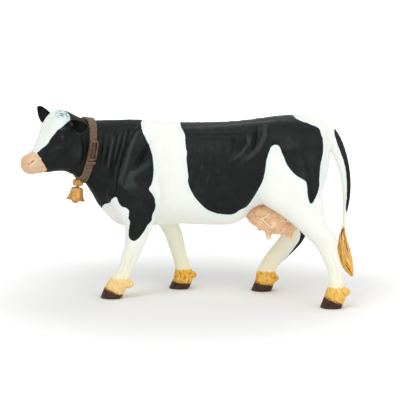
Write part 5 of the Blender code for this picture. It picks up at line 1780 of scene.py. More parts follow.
def make_hanger(settings):
    """The band under the strap with two cheeks, and the pin with its rounded heads."""
    material = bell_material(settings)
    pivot, ahead, left = pin_place()
    up = np.array([0.0, 0.0, 1.0])
    eye = bell_eye_diameter / 2.0
    outer = bell_eye_thickness / 2.0 + cheek_gap + cheek_thickness + band_cover
    _, high_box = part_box("bell_hanger")
    foot = eye + fit_gap
    top = high_box[2] - pivot[2] + 0.05 * MM
    half = band_length / 2.0
    shapes = []
    skirt = eye + band_cover
    rows = ((0.0, foot, top), (-1.0, rear_foot, foot + cheek_root), (1.0, front_foot, foot + cheek_root))
    for middle, low, high in rows:
        reach = half if middle == 0.0 else (half - skirt) / 2.0
        across, upward = squircle(circle(64), 9.0, 9.0)
        centre = middle * (half + skirt) / 2.0
        slant = -band_slant * (across * reach + centre) * (upward > 0.0)
        level = (low + high) / 2.0 + upward * (high - low) / 2.0 + slant
        outline = np.stack([centre + across * reach, level], axis=1)
        shapes.append(plate_through(outline, ahead, up, left, pivot, -outer, outer, 0.12 * MM))
    angle = np.linspace(-math.pi * 0.86, -math.pi * 0.14, 25)
    cheek_end = eye - 0.15 * MM
    arc = np.stack([np.cos(angle) * cheek_end, np.sin(angle) * cheek_end], axis=1)
    wing = half - band_cover
    behind = [(-wing, foot + band_cover), (-wing, rear_foot - cheek_toe)]
    before = [(wing, front_foot - cheek_toe), (wing, foot + band_cover)]
    cheek = np.concatenate([behind, arc, before])
    near = bell_eye_thickness / 2.0 + cheek_gap
    for side in (1, -1):
        ends = sorted((side * near, side * (near + cheek_thickness)))
        shapes.append(plate_through(cheek, ahead, up, left, pivot, *ends, 0.08 * MM))
    mesh = new_mesh("hanger_band", *merged(shapes))
    finish_piece("hanger_band", mesh, material, "figure", "bell_gold", "bell_hanger")
    reach = near + cheek_thickness + pin_overhang
    radius = pin_diameter / 2.0
    head = pin_head_radius
    steps = ((axis_gap, 0.0), (head * 0.7, 0.04 * MM), (head, 0.16 * MM), (radius, 0.26 * MM))
    profile = [(wide, -reach + step) for wide, step in steps]
    profile = np.asarray(profile + [(a, -b) for a, b in profile[::-1]])
    grid = turned(profile, 32, pivot, ahead, up, left)
    mesh = new_mesh("hanger_pin", *closed_loft(grid))
    finish_piece("hanger_pin", mesh, material, "figure", "bell_gold", "bell_pin")


def make_bell(settings):
    """The bell: its outer profile from crown to a thickened lip and its inner one back, carried
    round, with the eye that it hangs by."""
    material = bell_material(settings)
    pivot, ahead, left, up = bell_directions()
    crown = -(bell_eye_diameter / 2.0 + fit_gap)
    radius = bell_mouth_diameter / 2.0
    outside = spaced_rows(bell_shares, 70)
    wide = outside[:, 0] * radius
    down = crown - bell_height * outside[:, 1]
    groove = np.zeros(len(outside))
    for depth, share in bell_grooves:
        groove += depth * MM * np.exp(-((outside[:, 1] - share) / bell_groove_width) ** 2)
    outer = np.stack([wide - groove, down], axis=1)
    inner = np.stack([wide - bell_wall, down], axis=1)[22:]
    dome = [(0.03 * MM, crown + 0.30 * MM)]
    dome += [(wide[0] * share, crown + rise * MM) for share, rise in bell_dome]
    lip = [(radius - bell_wall * share, down[-1] - drop * MM) for share, drop in bell_lip]
    ceiling = [(inner[0, 0] * 0.6, inner[0, 1] + 0.25 * MM), (0.03 * MM, inner[0, 1] + 0.35 * MM)]
    profile = np.concatenate([dome, outer, lip, inner[::-1], ceiling])
    shapes = [closed_loft(turned(profile, 120, pivot, ahead, left, up))]
    hole = pin_diameter / 2.0 + pin_clearance
    ring_radius = (hole + bell_eye_diameter / 2.0) / 2.0
    ring_half = (bell_eye_diameter / 2.0 - hole) / 2.0
    across, upward = squircle(circle(20), 3.0, 3.0)
    angle = circle(64)[:, None]
    reach = ring_radius + across[None, :] * ring_half
    grid = rings_round(pivot, reach, angle, ahead, up)
    shapes.append(tube_loop(grid + (upward * bell_eye_thickness / 2.0)[None, :, None] * left))
    foot = np.array(bell_foot) * MM
    half = bell_eye_thickness / 2.0
    shapes.append(plate_through(foot, ahead, up, left, pivot, -half, half, 0.06 * MM))
    mesh = new_mesh("bell_shell", *merged(shapes))
    finish_piece("bell_shell", mesh, material, "bell", "bell_gold", "bell")


def make_clapper(settings):
    """The clapper: a stem and a ball as one turned profile."""
    pivot, ahead, left, up = bell_directions()
    crown = -(bell_eye_diameter / 2.0 + fit_gap)
    ball = clapper_diameter / 2.0
    centre = crown - bell_height - clapper_drop + ball
    stem = clapper_stem_share * ball
    top = crown - bell_height * 0.10
    angle = np.linspace(1.25, -1.35, 40)
    round_part = np.stack([np.cos(angle) * ball, centre + np.sin(angle) * ball], axis=1)
    stem_part = [(axis_gap, top), (stem, top - 0.1 * MM), (stem, centre + ball * 1.02)]
    profile = np.concatenate([stem_part, round_part, [(axis_gap, centre - ball)]])
    mesh = new_mesh("clapper_ball", *closed_loft(turned(profile, 64, pivot, ahead, left, up)))
    finish_piece("clapper_ball", mesh, bell_material(settings), "bell", "bell_gold", "bell_clapper")


def new_material(name):
    """An empty node material, its node tree and its Principled shader."""
    material = bpy.data.materials.new(name)
    material.use_nodes = True
    return material, material.node_tree, material.node_tree.nodes["Principled BSDF"]


def add(tree, kind, **values):
    """A node with some of its own settings."""
    node = tree.nodes.new(kind)
    for name, value in values.items():
        setattr(node, name, value)
    return node


def put(tree, socket, value):
    """Links a socket to another, or sets its value. A colour gets full alpha."""
    if isinstance(value, bpy.types.NodeSocket):
        tree.links.new(value, socket)
    elif socket.type == "RGBA":
        socket.default_value = (*value, 1.0)
    else:
        socket.default_value = value


def maths(tree, operation, *values, clamp=False):
    """A maths node on sockets or numbers."""
    node = add(tree, "ShaderNodeMath", operation=operation, use_clamp=clamp)
    for socket, value in zip(node.inputs, values):
        put(tree, socket, value)
    return node.outputs[0]


def times(tree, first, second):
    """A product."""
    return maths(tree, "MULTIPLY", first, second)


def plus(tree, first, second):
    """A sum."""
    return maths(tree, "ADD", first, second)


def ramped(tree, value, low, high):
    """A smooth step from 0 to 1 between two values."""
    node = add(tree, "ShaderNodeMapRange", interpolation_type="SMOOTHSTEP")
    put(tree, node.inputs["Value"], value)
    put(tree, node.inputs["From Min"], low)
    put(tree, node.inputs["From Max"], high)
    return node.outputs["Result"]


def mixed(tree, share, first, second, most=1.0):
    """A colour mix, its share scaled to a most."""
    node = add(tree, "ShaderNodeMix", data_type="RGBA")
    put(tree, node.inputs["Factor"], share if most == 1.0 else times(tree, share, most))
    put(tree, node.inputs["A"], first)
    put(tree, node.inputs["B"], second)
    return node.outputs["Result"]


def speckled(tree, size, low, high, *settings):
    """A smooth step on noise of a size."""
    return ramped(tree, noise(tree, size, *settings), low, high)


def kept_value(tree, name):
    """A number kept on the mesh's points."""
    return add(tree, "ShaderNodeAttribute", attribute_name=name).outputs["Fac"]


def noise(tree, size, detail=3.0, stretch=(1.0, 1.0, 1.0), roughness=0.5):
    """Noise on object coordinates whose features are about a size in millimetres."""
    place = add(tree, "ShaderNodeTexCoord").outputs["Object"]
    mapping = add(tree, "ShaderNodeMapping")
    mapping.inputs["Scale"].default_value = tuple(share / (size * MM) for share in stretch)
    put(tree, mapping.inputs["Vector"], place)
    node = add(tree, "ShaderNodeTexNoise")
    node.inputs["Scale"].default_value = 1.0
    node.inputs["Detail"].default_value = detail
    node.inputs["Roughness"].default_value = roughness
    put(tree, node.inputs["Vector"], mapping.outputs["Vector"])
    return node.outputs["Fac"]


def new_group(name, inputs, outputs):
    """An empty node group with named inputs and outputs."""
    group = bpy.data.node_groups.new(name, "ShaderNodeTree")
    for label, kind, default in inputs:
        socket = group.interface.new_socket(label, in_out="INPUT", socket_type=kind)
        socket.default_value = default
    for label, kind in outputs:
        group.interface.new_socket(label, in_out="OUTPUT", socket_type=kind)
    return group, group.nodes.new("NodeGroupInput"), group.nodes.new("NodeGroupOutput")


def shade_and_highlight_group():
    """Paint with painted shade in hollows, a painted highlight on ridges, and slow mottling."""
    known = bpy.data.node_groups.get("shade_and_highlight_paint")
    if known:
        return known
    inputs = [(label, "NodeSocketColor", (0.5, 0.5, 0.5, 1.0)) for label in ("Paint", "Wash", "Highlight")]
    inputs += [(label, "NodeSocketFloat", 1.0) for label in ("Hollow", "Wash Share", "Touch Share")]
    outputs = (("Color", "NodeSocketColor"), ("Height", "NodeSocketFloat"))
    group, start, end = new_group("shade_and_highlight_paint", inputs, outputs)
    mottle = noise(group, 4.0, 4.0)
    # Painted shade: the darker colour where the skin is hollow
    wash = times(group, ramped(group, start.outputs["Hollow"], 0.015, 0.14), start.outputs["Wash Share"])
    # Painted highlight: the lighter colour on ridges, with slow mottling added
    ridge = times(group, start.outputs["Hollow"], -1.0)
    touch = times(group, ramped(group, ridge, 0.02, 0.13), start.outputs["Touch Share"])
    slow = times(group, ramped(group, mottle, 0.45, 0.75), 0.18)
    touch = maths(group, "ADD", touch, times(group, slow, start.outputs["Touch Share"]), clamp=True)
    colour = mixed(group, wash, start.outputs["Paint"], start.outputs["Wash"])
    colour = mixed(group, touch, colour, start.outputs["Highlight"])
    put(group, end.inputs["Color"], colour)
    grain = times(group, noise(group, 0.25, 2.0), 0.5)
    put(group, end.inputs["Height"], plus(group, grain, mottle))
    return group


def brushed(tree, paint, wash, touch, hollow, shade_share=1.0, highlight_share=1.0):
    """A paint node in a material, with painted shade in hollows and a painted highlight on ridges:
    its colour and its height.
    """
    node = add(tree, "ShaderNodeGroup", node_tree=shade_and_highlight_group())
    values = {"Paint": paint, "Wash": wash, "Highlight": touch, "Hollow": hollow}
    values.update({"Wash Share": shade_share, "Touch Share": highlight_share})
    for name, value in values.items():
        put(tree, node.inputs[name], value)
    return node.outputs["Color"], node.outputs["Height"]


def bumped(tree, shader, height, distance, strength):
    """A bump from a height over a distance in millimetres."""
    node = add(tree, "ShaderNodeBump")
    node.inputs["Distance"].default_value = distance * MM
    node.inputs["Strength"].default_value = strength
    put(tree, node.inputs["Height"], height)
    put(tree, shader.inputs["Normal"], node.outputs["Normal"])


def coat_material(settings):
    """Satin paint: black patches on white that shades to cream, ochre hair over the hooves and a
    pale pink muzzle, with painted shade in the folds and a painted highlight on ridges. The edges
    wave a little as brushed edges do."""
    known = bpy.data.materials.get("coat_paint")
    if known:
        return known
    material, tree, shader = new_material("coat_paint")
    hollow = kept_value(tree, "hollow")
    low = kept_value(tree, "low")
    wave = times(tree, maths(tree, "SUBTRACT", noise(tree, 2.2, 2.0), 0.5), 0.45)
    ragged = times(tree, maths(tree, "SUBTRACT", noise(tree, 1.1, 3.0, (1.0, 1.0, 0.45)), 0.5), 2.4)
    black = ramped(tree, plus(tree, kept_value(tree, "black"), wave), -0.10, 0.10)
    ochre = ramped(tree, plus(tree, kept_value(tree, "ochre"), ragged), -0.45, 0.45)
    muzzle = ramped(tree, plus(tree, kept_value(tree, "muzzle"), wave), -0.22, 0.22)
    cream_share = times(tree, low, speckled(tree, 6.0, 0.0, 0.60, 3.0))
    white = mixed(tree, cream_share, settings.white_paint, settings.cream_paint)
    by_ochre = ramped(tree, kept_value(tree, "ochre"), -6.5, -0.4)
    white = mixed(tree, by_ochre, white, settings.yellow_paint, 0.50)
    by_black = ramped(tree, kept_value(tree, "black"), -2.8, -0.2)
    white = mixed(tree, by_black, white, settings.cool_paint, 0.30)
    streak = noise(tree, 0.6, 3.0, (0.35, 1.0, 1.0))
    by_poll = kept_value(tree, "poll")
    poll = times(tree, ramped(tree, streak, 0.46, 0.56), ramped(tree, by_poll, 0.45, 0.90))
    white = mixed(tree, by_poll, white, settings.cool_paint, 0.80)
    white = mixed(tree, poll, white, settings.poll_paint, 0.90)
    # White: painted shade in the folds and a painted highlight on ridges
    white, height = brushed(tree, white, settings.shade_paint, settings.white_paint, hollow, 0.40, 0.5)
    blacks = (settings.black_paint, settings.deep_paint, settings.sheen_paint)
    # Black: painted shade deepest in the folds and a painted sheen on ridges
    dark, _ = brushed(tree, *blacks, hollow, 1.0, 0.6)
    hair = noise(tree, 0.62, 4.0, (1.0, 1.0, 0.32), 0.6)
    gold = mixed(tree, ramped(tree, hair, 0.38, 0.56), settings.ochre_dark, settings.ochre_paint)
    locks = noise(tree, 1.6, 3.0, (1.0, 1.0, 0.70))
    gold = mixed(tree, ramped(tree, locks, 0.45, 0.75), gold, settings.ochre_light, 0.60)
    gold = mixed(tree, kept_value(tree, "pale"), gold, settings.teat_paint, 0.55)
    gold = mixed(tree, ramped(tree, hair, 0.40, 0.33), gold, settings.ochre_deep, 0.45)
    # Painted highlight: the ochre hair lighter on the near side, where the cream share is lower
    gold = mixed(tree, ramped(tree, low, 0.95, 0.62), gold, settings.ochre_light, 0.22)
    pinks = (settings.muzzle_paint, settings.muzzle_fold_shade, settings.white_paint)
    # Muzzle: painted shade in its folds and a painted highlight on ridges
    pink, _ = brushed(tree, *pinks, hollow, 1.0, 0.2)
    colour = mixed(tree, ochre, white, gold)
    colour = mixed(tree, black, colour, dark)
    colour = mixed(tree, muzzle, colour, pink)
    put(tree, shader.inputs["Base Color"], colour)
    put(tree, shader.inputs["Roughness"], plus(tree, times(tree, noise(tree, 3.0), 0.16), 0.44))
    strands = times(tree, times(tree, hair, ochre), 2.0)
    bumped(tree, shader, plus(tree, height, strands), 0.10, 0.6)
    shader.inputs["Specular IOR Level"].default_value = 0.08
    dark_share = times(tree, black, maths(tree, "SUBTRACT", 1.0, muzzle))
    put(tree, shader.inputs["Coat Weight"], times(tree, dark_share, 0.10))
    shader.inputs["Coat Roughness"].default_value = 0.36
    return material


def ear_material(settings):
    """Black paint with painted shade deepest inside the cup and a painted highlight along the rim."""
    material, tree, shader = new_material("ear_paint")
    blacks = (settings.black_paint, settings.deep_paint, settings.sheen_paint)
    # Painted shade in hollows and a painted highlight on ridges
    dark, height = brushed(tree, *blacks, kept_value(tree, "hollow"))
    # Painted shade: the darkest black inside the cup
    share = times(tree, kept_value(tree, "inside"), speckled(tree, 1.2, 0.1, 0.5))
    colour = mixed(tree, share, dark, settings.ear_paint)
    # Painted highlight: sheen along the rim
    rim = times(tree, kept_value(tree, "rim"), speckled(tree, 1.0, 0.2, 0.6))
    colour = mixed(tree, rim, colour, settings.sheen_paint)
    put(tree, shader.inputs["Base Color"], colour)
    shader.inputs["Roughness"].default_value = 0.55
    shader.inputs["Specular IOR Level"].default_value = 0.10
    bumped(tree, shader, plus(tree, height, noise(tree, 0.4, 4.0)), 0.10, 0.6)
    return material


def eye_material(settings):
    """Gloss paint: a black pupil in a very dark brown iris, under a clear coat."""
    material, tree, shader = new_material("eye_gloss")
    iris = ramped(tree, kept_value(tree, "ring"), 0.22, 0.27)
    colour = mixed(tree, iris, (0.004, 0.004, 0.004), settings.iris_paint)
    white = ramped(tree, kept_value(tree, "ring"), 0.47, 0.52)
    colour = mixed(tree, white, colour, settings.deep_paint)
    streak = mixed(tree, speckled(tree, 0.3, 0.4, 0.7), colour, (0.006, 0.005, 0.004))
    put(tree, shader.inputs["Base Color"], streak)
    shader.inputs["Roughness"].default_value = 0.20
    shader.inputs["Specular IOR Level"].default_value = 0.30
    shader.inputs["Coat Weight"].default_value = 0.12
    shader.inputs["Coat Roughness"].default_value = 0.05
    return material


def hoof_material(settings):
    """Dark horn with growth lines, a paler speckled sole edge and ochre brushed over the coronet."""
    material, tree, shader = new_material("horn_paint")
    down = kept_value(tree, "down")
    lines = noise(tree, 0.55, 3.0, (0.3, 0.3, 1.6))
    colour = mixed(tree, ramped(tree, lines, 0.40, 0.66), settings.hoof_dark, settings.hoof_paint)
    # Paler towards the sole edge, in speckles
    rub = times(tree, ramped(tree, down, 0.80, 0.99), speckled(tree, 1.1, 0.40, 0.62))
    colour = mixed(tree, rub, colour, settings.hoof_sole_pale, 0.5)
    line = times(tree, ramped(tree, down, 0.16, 0.05), speckled(tree, 0.7, 0.35, 0.6))
    colour = mixed(tree, line, colour, settings.ochre_paint, 0.8)
    put(tree, shader.inputs["Base Color"], colour)
    put(tree, shader.inputs["Roughness"], plus(tree, times(tree, lines, 0.2), 0.26))
    shader.inputs["Specular IOR Level"].default_value = 0.25
    bumped(tree, shader, lines, 0.03, 0.5)
    return material


def udder_material(settings):
    """Pink-orange paint with rosy mottling, painted shade in its folds, a painted highlight on its
    ridges, pale raised veins, fine threads and yellow teats.
    """
    material, tree, shader = new_material("udder_paint")
    hollow = kept_value(tree, "hollow")
    rosy = speckled(tree, 2.4, 0.40, 0.65, 3.0)
    base = mixed(tree, rosy, settings.udder_paint, settings.udder_rose)
    lumps = speckled(tree, 3.1, 0.55, 0.72, 2.0, (1.0, 1.0, 1.3))
    base = mixed(tree, lumps, base, settings.teat_paint)
    # Painted shade in the udder's folds and a painted highlight on its ridges
    base, height = brushed(tree, base, settings.udder_shade_and_lines, settings.teat_paint, hollow, 1.0, 0.5)
    teat = kept_value(tree, "teat")
    base = mixed(tree, teat, base, settings.teat_paint, 0.75)
    seam = times(tree, kept_value(tree, "seam"), speckled(tree, 1.0, 0.35, 0.65))
    base = mixed(tree, seam, base, settings.udder_shade_and_lines, 0.55)
    wander = noise(tree, 2.8, 2.0)
    thread = ramped(tree, maths(tree, "ABSOLUTE", maths(tree, "SUBTRACT", wander, 0.50)), 0.014, 0.004)
    base = mixed(tree, thread, base, settings.udder_shade_and_lines, 0.38)
    pale = ramped(tree, maths(tree, "ABSOLUTE", maths(tree, "SUBTRACT", wander, 0.545)), 0.020, 0.008)
    base = mixed(tree, pale, base, settings.vein_paint, 0.45)
    vein = ramped(tree, kept_value(tree, "vein"), 0.25, 0.9)
    colour = mixed(tree, vein, base, settings.vein_paint, 0.8)
    colour = mixed(tree, teat, colour, settings.teat_paint, 0.70)
    put(tree, shader.inputs["Base Color"], colour)
    shader.inputs["Roughness"].default_value = 0.42
    bumped(tree, shader, height, 0.10, 0.5)
    return material


def switch_material(settings):
    """Ochre hair, each strand its own shade and lighter towards the tail as a painted highlight, with
    painted shade on the core between strands and dark lines between.
    """
    material, tree, shader = new_material("hair_paint")
    strand = kept_value(tree, "strand")
    lines = noise(tree, 0.5, 4.0, (1.0, 1.0, 0.12), 0.6)
    colour = mixed(tree, ramped(tree, strand, 0.10, 0.40), settings.hair_brown, settings.ochre_paint)
    colour = mixed(tree, ramped(tree, strand, 0.50, 0.80), colour, settings.hair_light)
    # Painted shade: the core between the strands
    between = ramped(tree, kept_value(tree, "hollow"), 0.02, 0.30)
    colour = mixed(tree, between, colour, settings.ochre_deep, 0.9)
    colour = mixed(tree, ramped(tree, lines, 0.48, 0.36), colour, settings.ochre_deep, 0.65)
    put(tree, shader.inputs["Base Color"], colour)
    shader.inputs["Roughness"].default_value = 0.45
    bumped(tree, shader, lines, 0.12, 0.7)
    return material


def strap_material(settings):
    """Painted leather: brown with dark speckles, greenish patches and rubbed pale edges."""
    material, tree, shader = new_material("strap_paint")
    speckle = noise(tree, 0.55, 5.0, roughness=0.7)
    patch = noise(tree, 2.2, 3.0)
    colour = mixed(tree, ramped(tree, speckle, 0.36, 0.62), settings.strap_dark, settings.strap_paint)
    colour = mixed(tree, ramped(tree, patch, 0.45, 0.7), colour, settings.strap_green, 0.6)
    edge = ramped(tree, kept_value(tree, "edge"), 0.80, 0.98)
    worn = times(tree, edge, ramped(tree, speckle, 0.35, 0.55))
    colour = mixed(tree, worn, colour, settings.strap_rub, 0.7)
    put(tree, shader.inputs["Base Color"], colour)
    put(tree, shader.inputs["Roughness"], plus(tree, times(tree, speckle, 0.3), 0.35))
    bumped(tree, shader, speckle, 0.22, 0.8)
    return material


def buckle_material(settings):
    """Reddish brown paint over metal, rubbed to a warmer tone."""
    material, tree, shader = new_material("buckle_paint")
    speckle = noise(tree, 0.7, 4.0, roughness=0.65)
    colour = mixed(tree, ramped(tree, speckle, 0.40, 0.64), settings.buckle_dark, settings.buckle_paint)
    put(tree, shader.inputs["Base Color"], colour)
    put(tree, shader.inputs["Metallic"], ramped(tree, speckle, 0.55, 0.90))
    shader.inputs["Roughness"].default_value = 0.38
    bumped(tree, shader, speckle, 0.15, 0.6)
    return material


def bell_material(settings):
    """Gold paint with a brown wash in small pits and patches brushed lighter."""
    known = bpy.data.materials.get("bell_paint")
    if known:
        return known
    material, tree, shader = new_material("bell_paint")
    pits = noise(tree, 0.9, 4.0, roughness=0.6)
    stain = noise(tree, 2.6, 3.0)
    colour = mixed(tree, ramped(tree, pits, 0.18, 0.52), settings.bell_wash, settings.bell_paint)
    colour = mixed(tree, ramped(tree, stain, 0.50, 0.70), colour, settings.bell_light, 0.7)
    put(tree, shader.inputs["Base Color"], colour)
    put(tree, shader.inputs["Metallic"], times(tree, ramped(tree, pits, 0.35, 0.6), 0.35))
    put(tree, shader.inputs["Roughness"], plus(tree, times(tree, pits, 0.25), 0.25))
    bumped(tree, shader, pits, 0.14, 0.6)
    return material


# The studio: half the floor's size, its squares, and how far out the white ground begins and ends
floor_size = 14.0
floor_squares = 8
ground_from = 0.04
ground_to = 0.22
ground_glow = 0.8
lamp_aim_height = 0.04


def make_studio(settings):
    """A pale floor that fades to a white ground for the camera, soft lamps and the camera."""
    count = floor_squares + 1
    grid = np.linspace(-floor_size, floor_size, count)
    x, y = np.meshgrid(grid, grid, indexing="ij")
    points = np.stack([x.ravel(), y.ravel(), np.zeros(x.size)], axis=1)
    row = np.arange(floor_squares)[:, None] * count + np.arange(floor_squares)[None, :]
    faces = np.stack([row, row + count, row + count + 1, row + 1], axis=-1).reshape(-1, 4)
    mesh = new_mesh("studio_floor", points, [faces])
    material, tree, shader = new_material("floor_paper")
    grain = speckled(tree, 0.8, 0.3, 0.7, 2.0)
    put(tree, shader.inputs["Base Color"], mixed(tree, grain, settings.floor_colour, (0.93, 0.93, 0.93)))
    shader.inputs["Roughness"].default_value = 0.9
    place = add(tree, "ShaderNodeTexCoord").outputs["Object"]
    reach = add(tree, "ShaderNodeVectorMath", operation="LENGTH")
    put(tree, reach.inputs[0], place)
    camera_ray = add(tree, "ShaderNodeLightPath").outputs["Is Camera Ray"]
    glow = times(tree, ramped(tree, reach.outputs["Value"], ground_from, ground_to), camera_ray)
    put(tree, shader.inputs["Emission Strength"], times(tree, glow, ground_glow))
    shader.inputs["Emission Color"].default_value = (1.0, 1.0, 1.0, 1.0)
    mesh.materials.append(material)
    floor = new_object("studio_floor", mesh)
    world = bpy.data.worlds.new("studio_light")
    world.use_nodes = True
    tree = world.node_tree
    background = tree.nodes["Background"]
    path = add(tree, "ShaderNodeLightPath")
    seen = maths(tree, "ADD", path.outputs["Is Camera Ray"], path.outputs["Is Glossy Ray"], clamp=True)
    seen = maths(tree, "ADD", seen, path.outputs["Is Transmission Ray"], clamp=True)
    put(tree, background.inputs["Color"], (1.0, 1.0, 1.0))
    level = plus(tree, times(tree, seen, 1.0 - settings.sky_level), settings.sky_level)
    put(tree, background.inputs["Strength"], level)
    bpy.context.scene.world = world
    add_lamp("key_lamp", (-0.30, -0.55, 0.75), 0.50, settings.key_power)
    add_lamp("fill_lamp", (0.55, -0.45, 0.35), 0.60, settings.fill_power)
    add_lamp("top_lamp", (0.10, 0.25, 0.80), 0.60, settings.top_power)
    camera = bpy.data.cameras.new("photo_camera")
    camera.lens = lens_mm
    camera.sensor_width = sensor_mm
    camera.clip_start = 0.01
    right, toward, up = view_axes()
    place = view_target() + frame_step() + toward * view_distance
    bpy.context.scene.camera = placed_item("photo_camera", camera, right, up, toward, place)
    bpy.context.scene.view_settings.view_transform = "Standard"


def placed_item(name, data, right, up, toward, place):
    """An object for a lamp or camera, turned to its directions and put in its place."""
    item = bpy.data.objects.new(name, data)
    matrix = np.eye(4)
    matrix[:3] = np.stack([right, up, toward, place], axis=1)
    item.matrix_world = [list(line) for line in matrix.T]
    bpy.context.scene.collection.objects.link(item)
    return item


def add_lamp(name, place, size, power):
    """A square soft lamp aimed at the figure's middle."""
    lamp = bpy.data.lights.new(name, "AREA")
    lamp.size = size
    lamp.energy = power
    toward = unit(np.asarray(place) - np.array([0.0, 0.0, lamp_aim_height]))
    side = unit(np.cross((0.0, 0.0, 1.0), toward))
    placed_item(name, lamp, side, np.cross(toward, side), toward, place)


def colour_property(label, description, value):
    """A colour that a user may change."""
    limits = {"subtype": "COLOR", "size": 3, "min": 0.0, "max": 1.0}
    return FloatVectorProperty(name=label, description=description, default=value, **limits)


def grain_property(label, description, value):
    """The size of a skin's faces, which a user may change."""
    return FloatProperty(name=label, description=description, default=value, unit="LENGTH", precision=5)


def depth_property(label, description, value):
    """A depth of sculpting that a user may change."""
    limits = {"min": 0.0, "max": 3.0}
    return FloatProperty(name=label, description=description, default=value, subtype="FACTOR", **limits)


def power_property(label, description, value):
    """A lamp's power that a user may change."""
    return FloatProperty(name=label, description=description, default=value, min=0.0, unit="POWER")


class CowFigureSettings(PropertyGroup):
    """Sizes and colours that a user would change."""

    coat_voxel: grain_property("Coat grain", "Size of the coat's faces", 0.34 * MM)
    head_voxel: grain_property("Head grain", "Size of the head's faces", 0.22 * MM)
    udder_voxel: grain_property("Udder grain", "Size of the udder's faces", 0.20 * MM)
    body_sculpt: depth_property("Body sculpting", "Depth of folds, ribs and muscles", 1.7)
    head_sculpt: depth_property("Head sculpting", "Depth of lids, nostrils and folds", 1.0)
    black_paint: colour_property("Black", "Black patches", (0.0092, 0.0120, 0.0106))
    # Painted shade: the black in the folds
    deep_paint: colour_property("Deep black", "Black in the folds", (0.0015, 0.002, 0.002))
    # Painted highlight: the sheen on black ridges and along the ears' rims
    sheen_paint: colour_property("Sheen black", "Black painted as sheen on ridges", (0.048, 0.059, 0.059))
    white_paint: colour_property("White", "White coat", (0.93, 0.95, 0.89))
    cool_paint: colour_property("Cool white", "White at the poll and beside black", (0.62, 0.86, 0.90))
    poll_paint: colour_property("Poll", "Dark strokes between the ears", (0.06, 0.10, 0.11))
    cream_paint: colour_property("Cream", "White low on the legs", (0.94, 0.92, 0.71))
    shade_paint: colour_property("Shade", "White in the folds", (0.72, 0.72, 0.60))
    yellow_paint: colour_property("Yellow", "Yellow tint above the ochre hair", (0.97, 0.87, 0.50))
    ochre_paint: colour_property("Ochre", "Hair over the hooves and on the tail", (0.93, 0.52, 0.075))
    ochre_light: colour_property("Light ochre", "Brushed hair", (0.98, 0.74, 0.28))
    ochre_dark: colour_property("Dark ochre", "Hair in shade", (0.60, 0.27, 0.03))
    # Also painted shade on the tail hair's core between the strands
    ochre_deep: colour_property("Hair lines", "Lines between strands", (0.16, 0.06, 0.012))
    hair_brown: colour_property("Brown hair", "Darkest strands of the tail", (0.36, 0.15, 0.030))
    hair_light: colour_property("Light hair", "Palest strands of the tail", (0.95, 0.66, 0.26))
    muzzle_paint: colour_property("Muzzle", "Pale pink muzzle", (0.78, 0.53, 0.33))
    # Painted shade in the muzzle's folds
    muzzle_fold_shade: colour_property("Muzzle shade", "Muzzle in its folds", (0.42, 0.22, 0.10))
    # Painted shade inside the ear cups
    ear_paint: colour_property("Ear cup", "Inside of the ears", (0.0035, 0.0040, 0.0040))
    iris_paint: colour_property("Iris", "Eye round the pupil", (0.010, 0.007, 0.006))
    hoof_paint: colour_property("Horn", "Hooves", (0.075, 0.034, 0.020))
    hoof_dark: colour_property("Dark horn", "Hooves between growth lines", (0.035, 0.015, 0.009))
    hoof_sole_pale: colour_property("Pale horn", "Hooves at the sole", (0.20, 0.12, 0.08))
    udder_paint: colour_property("Udder", "Udder", (0.92, 0.58, 0.31))
    udder_rose: colour_property("Udder rose", "Rosy parts of the udder", (0.82, 0.44, 0.26))
    # Painted shade in the udder's folds; also its seams and fine threads
    udder_shade_and_lines: colour_property("Udder shade", "Udder in its folds", (0.36, 0.15, 0.06))
    teat_paint: colour_property("Teats", "Teats and pale lumps", (0.97, 0.78, 0.46))
    vein_paint: colour_property("Veins", "Raised veins", (0.97, 0.80, 0.56))
    strap_paint: colour_property("Strap", "Strap", (0.19, 0.115, 0.062))
    strap_dark: colour_property("Dark strap", "Specks on the strap", (0.050, 0.028, 0.018))
    strap_green: colour_property("Strap tint", "Greenish parts of the strap", (0.13, 0.11, 0.055))
    strap_rub: colour_property("Rubbed strap", "Strap edges", (0.30, 0.19, 0.11))
    buckle_paint: colour_property("Buckle", "Buckle", (0.26, 0.125, 0.066))
    buckle_dark: colour_property("Dark buckle", "Buckle in its pits", (0.080, 0.038, 0.024))
    bell_paint: colour_property("Bell", "Gold paint", (0.69, 0.345, 0.078))
    bell_light: colour_property("Light bell", "Brushed gold", (0.92, 0.58, 0.22))
    bell_wash: colour_property("Bell wash", "Brown in the bell's pits", (0.26, 0.11, 0.03))
    floor_colour: colour_property("Floor", "Studio floor", (0.92, 0.92, 0.92))
    sky_level: FloatProperty(name="Sky", description="Light from all round", default=0.58, min=0.0, max=1.0)
    key_power: power_property("Key lamp", "Power of the key lamp", 2.35)
    fill_power: power_property("Fill lamp", "Power of the fill lamp", 1.7)
    top_power: power_property("Top lamp", "Power of the top lamp", 0.85)


class MakeCoat(Operator):
    """Makes the torso's two halves and the four legs"""

    bl_idname = "cow_figure.make_coat"
    bl_label = "Torso and legs"

    def execute(self, context):
        make_coat(context.scene.cow_figure)
        return {"FINISHED"}


class MakeHead(Operator):
    """Makes the head"""

    bl_idname = "cow_figure.make_head"
    bl_label = "Head"

    def execute(self, context):
        make_head(context.scene.cow_figure)
        return {"FINISHED"}


class MakeEars(Operator):
    """Makes both ears"""

    bl_idname = "cow_figure.make_ears"
    bl_label = "Ears"

    def execute(self, context):
        make_ears(context.scene.cow_figure)
        return {"FINISHED"}


class MakeEyes(Operator):
    """Makes both eyeballs"""

    bl_idname = "cow_figure.make_eyes"
    bl_label = "Eyes"

    def execute(self, context):
        make_eyes(context.scene.cow_figure)
        return {"FINISHED"}


class MakeHooves(Operator):
    """Makes the four hooves"""

    bl_idname = "cow_figure.make_hooves"
    bl_label = "Hooves"

    def execute(self, context):
        make_hooves(context.scene.cow_figure)
        return {"FINISHED"}


class MakeUdder(Operator):
    """Makes the udder and its teats"""

    bl_idname = "cow_figure.make_udder"
    bl_label = "Udder"

    def execute(self, context):
        make_udder(context.scene.cow_figure)
        return {"FINISHED"}


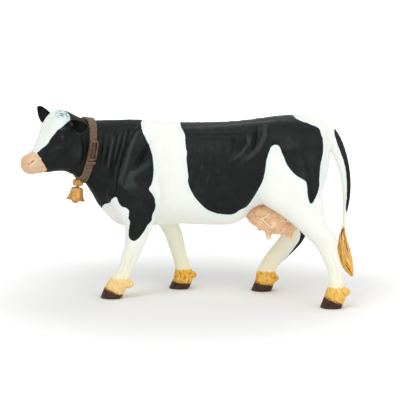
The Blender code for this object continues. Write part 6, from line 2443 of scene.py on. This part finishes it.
class MakeTail(Operator):
    """Makes the tail and its hair"""

    bl_idname = "cow_figure.make_tail"
    bl_label = "Tail and hair"

    def execute(self, context):
        make_tail(context.scene.cow_figure)
        make_switch(context.scene.cow_figure)
        return {"FINISHED"}


class MakeCollar(Operator):
    """Makes the strap, buckle and keeper"""

    bl_idname = "cow_figure.make_collar"
    bl_label = "Collar"

    def execute(self, context):
        make_strap(context.scene.cow_figure)
        make_buckle(context.scene.cow_figure)
        return {"FINISHED"}


class MakeBell(Operator):
    """Makes the hanger, pin, bell and clapper"""

    bl_idname = "cow_figure.make_bell"
    bl_label = "Bell"

    def execute(self, context):
        make_hanger(context.scene.cow_figure)
        make_bell(context.scene.cow_figure)
        make_clapper(context.scene.cow_figure)
        return {"FINISHED"}


class MakeStudio(Operator):
    """Makes the floor, lamps and camera"""

    bl_idname = "cow_figure.make_studio"
    bl_label = "Studio"

    def execute(self, context):
        make_studio(context.scene.cow_figure)
        return {"FINISHED"}


operators = (
    MakeCoat, MakeHead, MakeEars, MakeEyes, MakeHooves,
    MakeUdder, MakeTail, MakeCollar, MakeBell, MakeStudio,
)


class CowFigurePanel(Panel):
    """Lists the figure's pieces in the 3D view's sidebar"""

    bl_idname = "VIEW3D_PT_cow_figure"
    bl_label = "Cow figure"
    bl_space_type = "VIEW_3D"
    bl_region_type = "UI"
    bl_category = "Cow figure"

    def draw(self, context):
        for operator in operators:
            self.layout.operator(operator.bl_idname)


def register():
    """Registers the settings, operators and panel."""
    for item in (CowFigureSettings, *operators, CowFigurePanel):
        bpy.utils.register_class(item)
    bpy.types.Scene.cow_figure = PointerProperty(type=CowFigureSettings)


def unregister():
    """Takes the settings, operators and panel away."""
    del bpy.types.Scene.cow_figure
    for item in (CowFigurePanel, *reversed(operators), CowFigureSettings):
        bpy.utils.unregister_class(item)


def main():
    """Makes every piece in order."""
    register()
    for operator in operators:
        getattr(bpy.ops.cow_figure, operator.bl_idname.split(".")[1])()


if __name__ == "__main__":
    main()
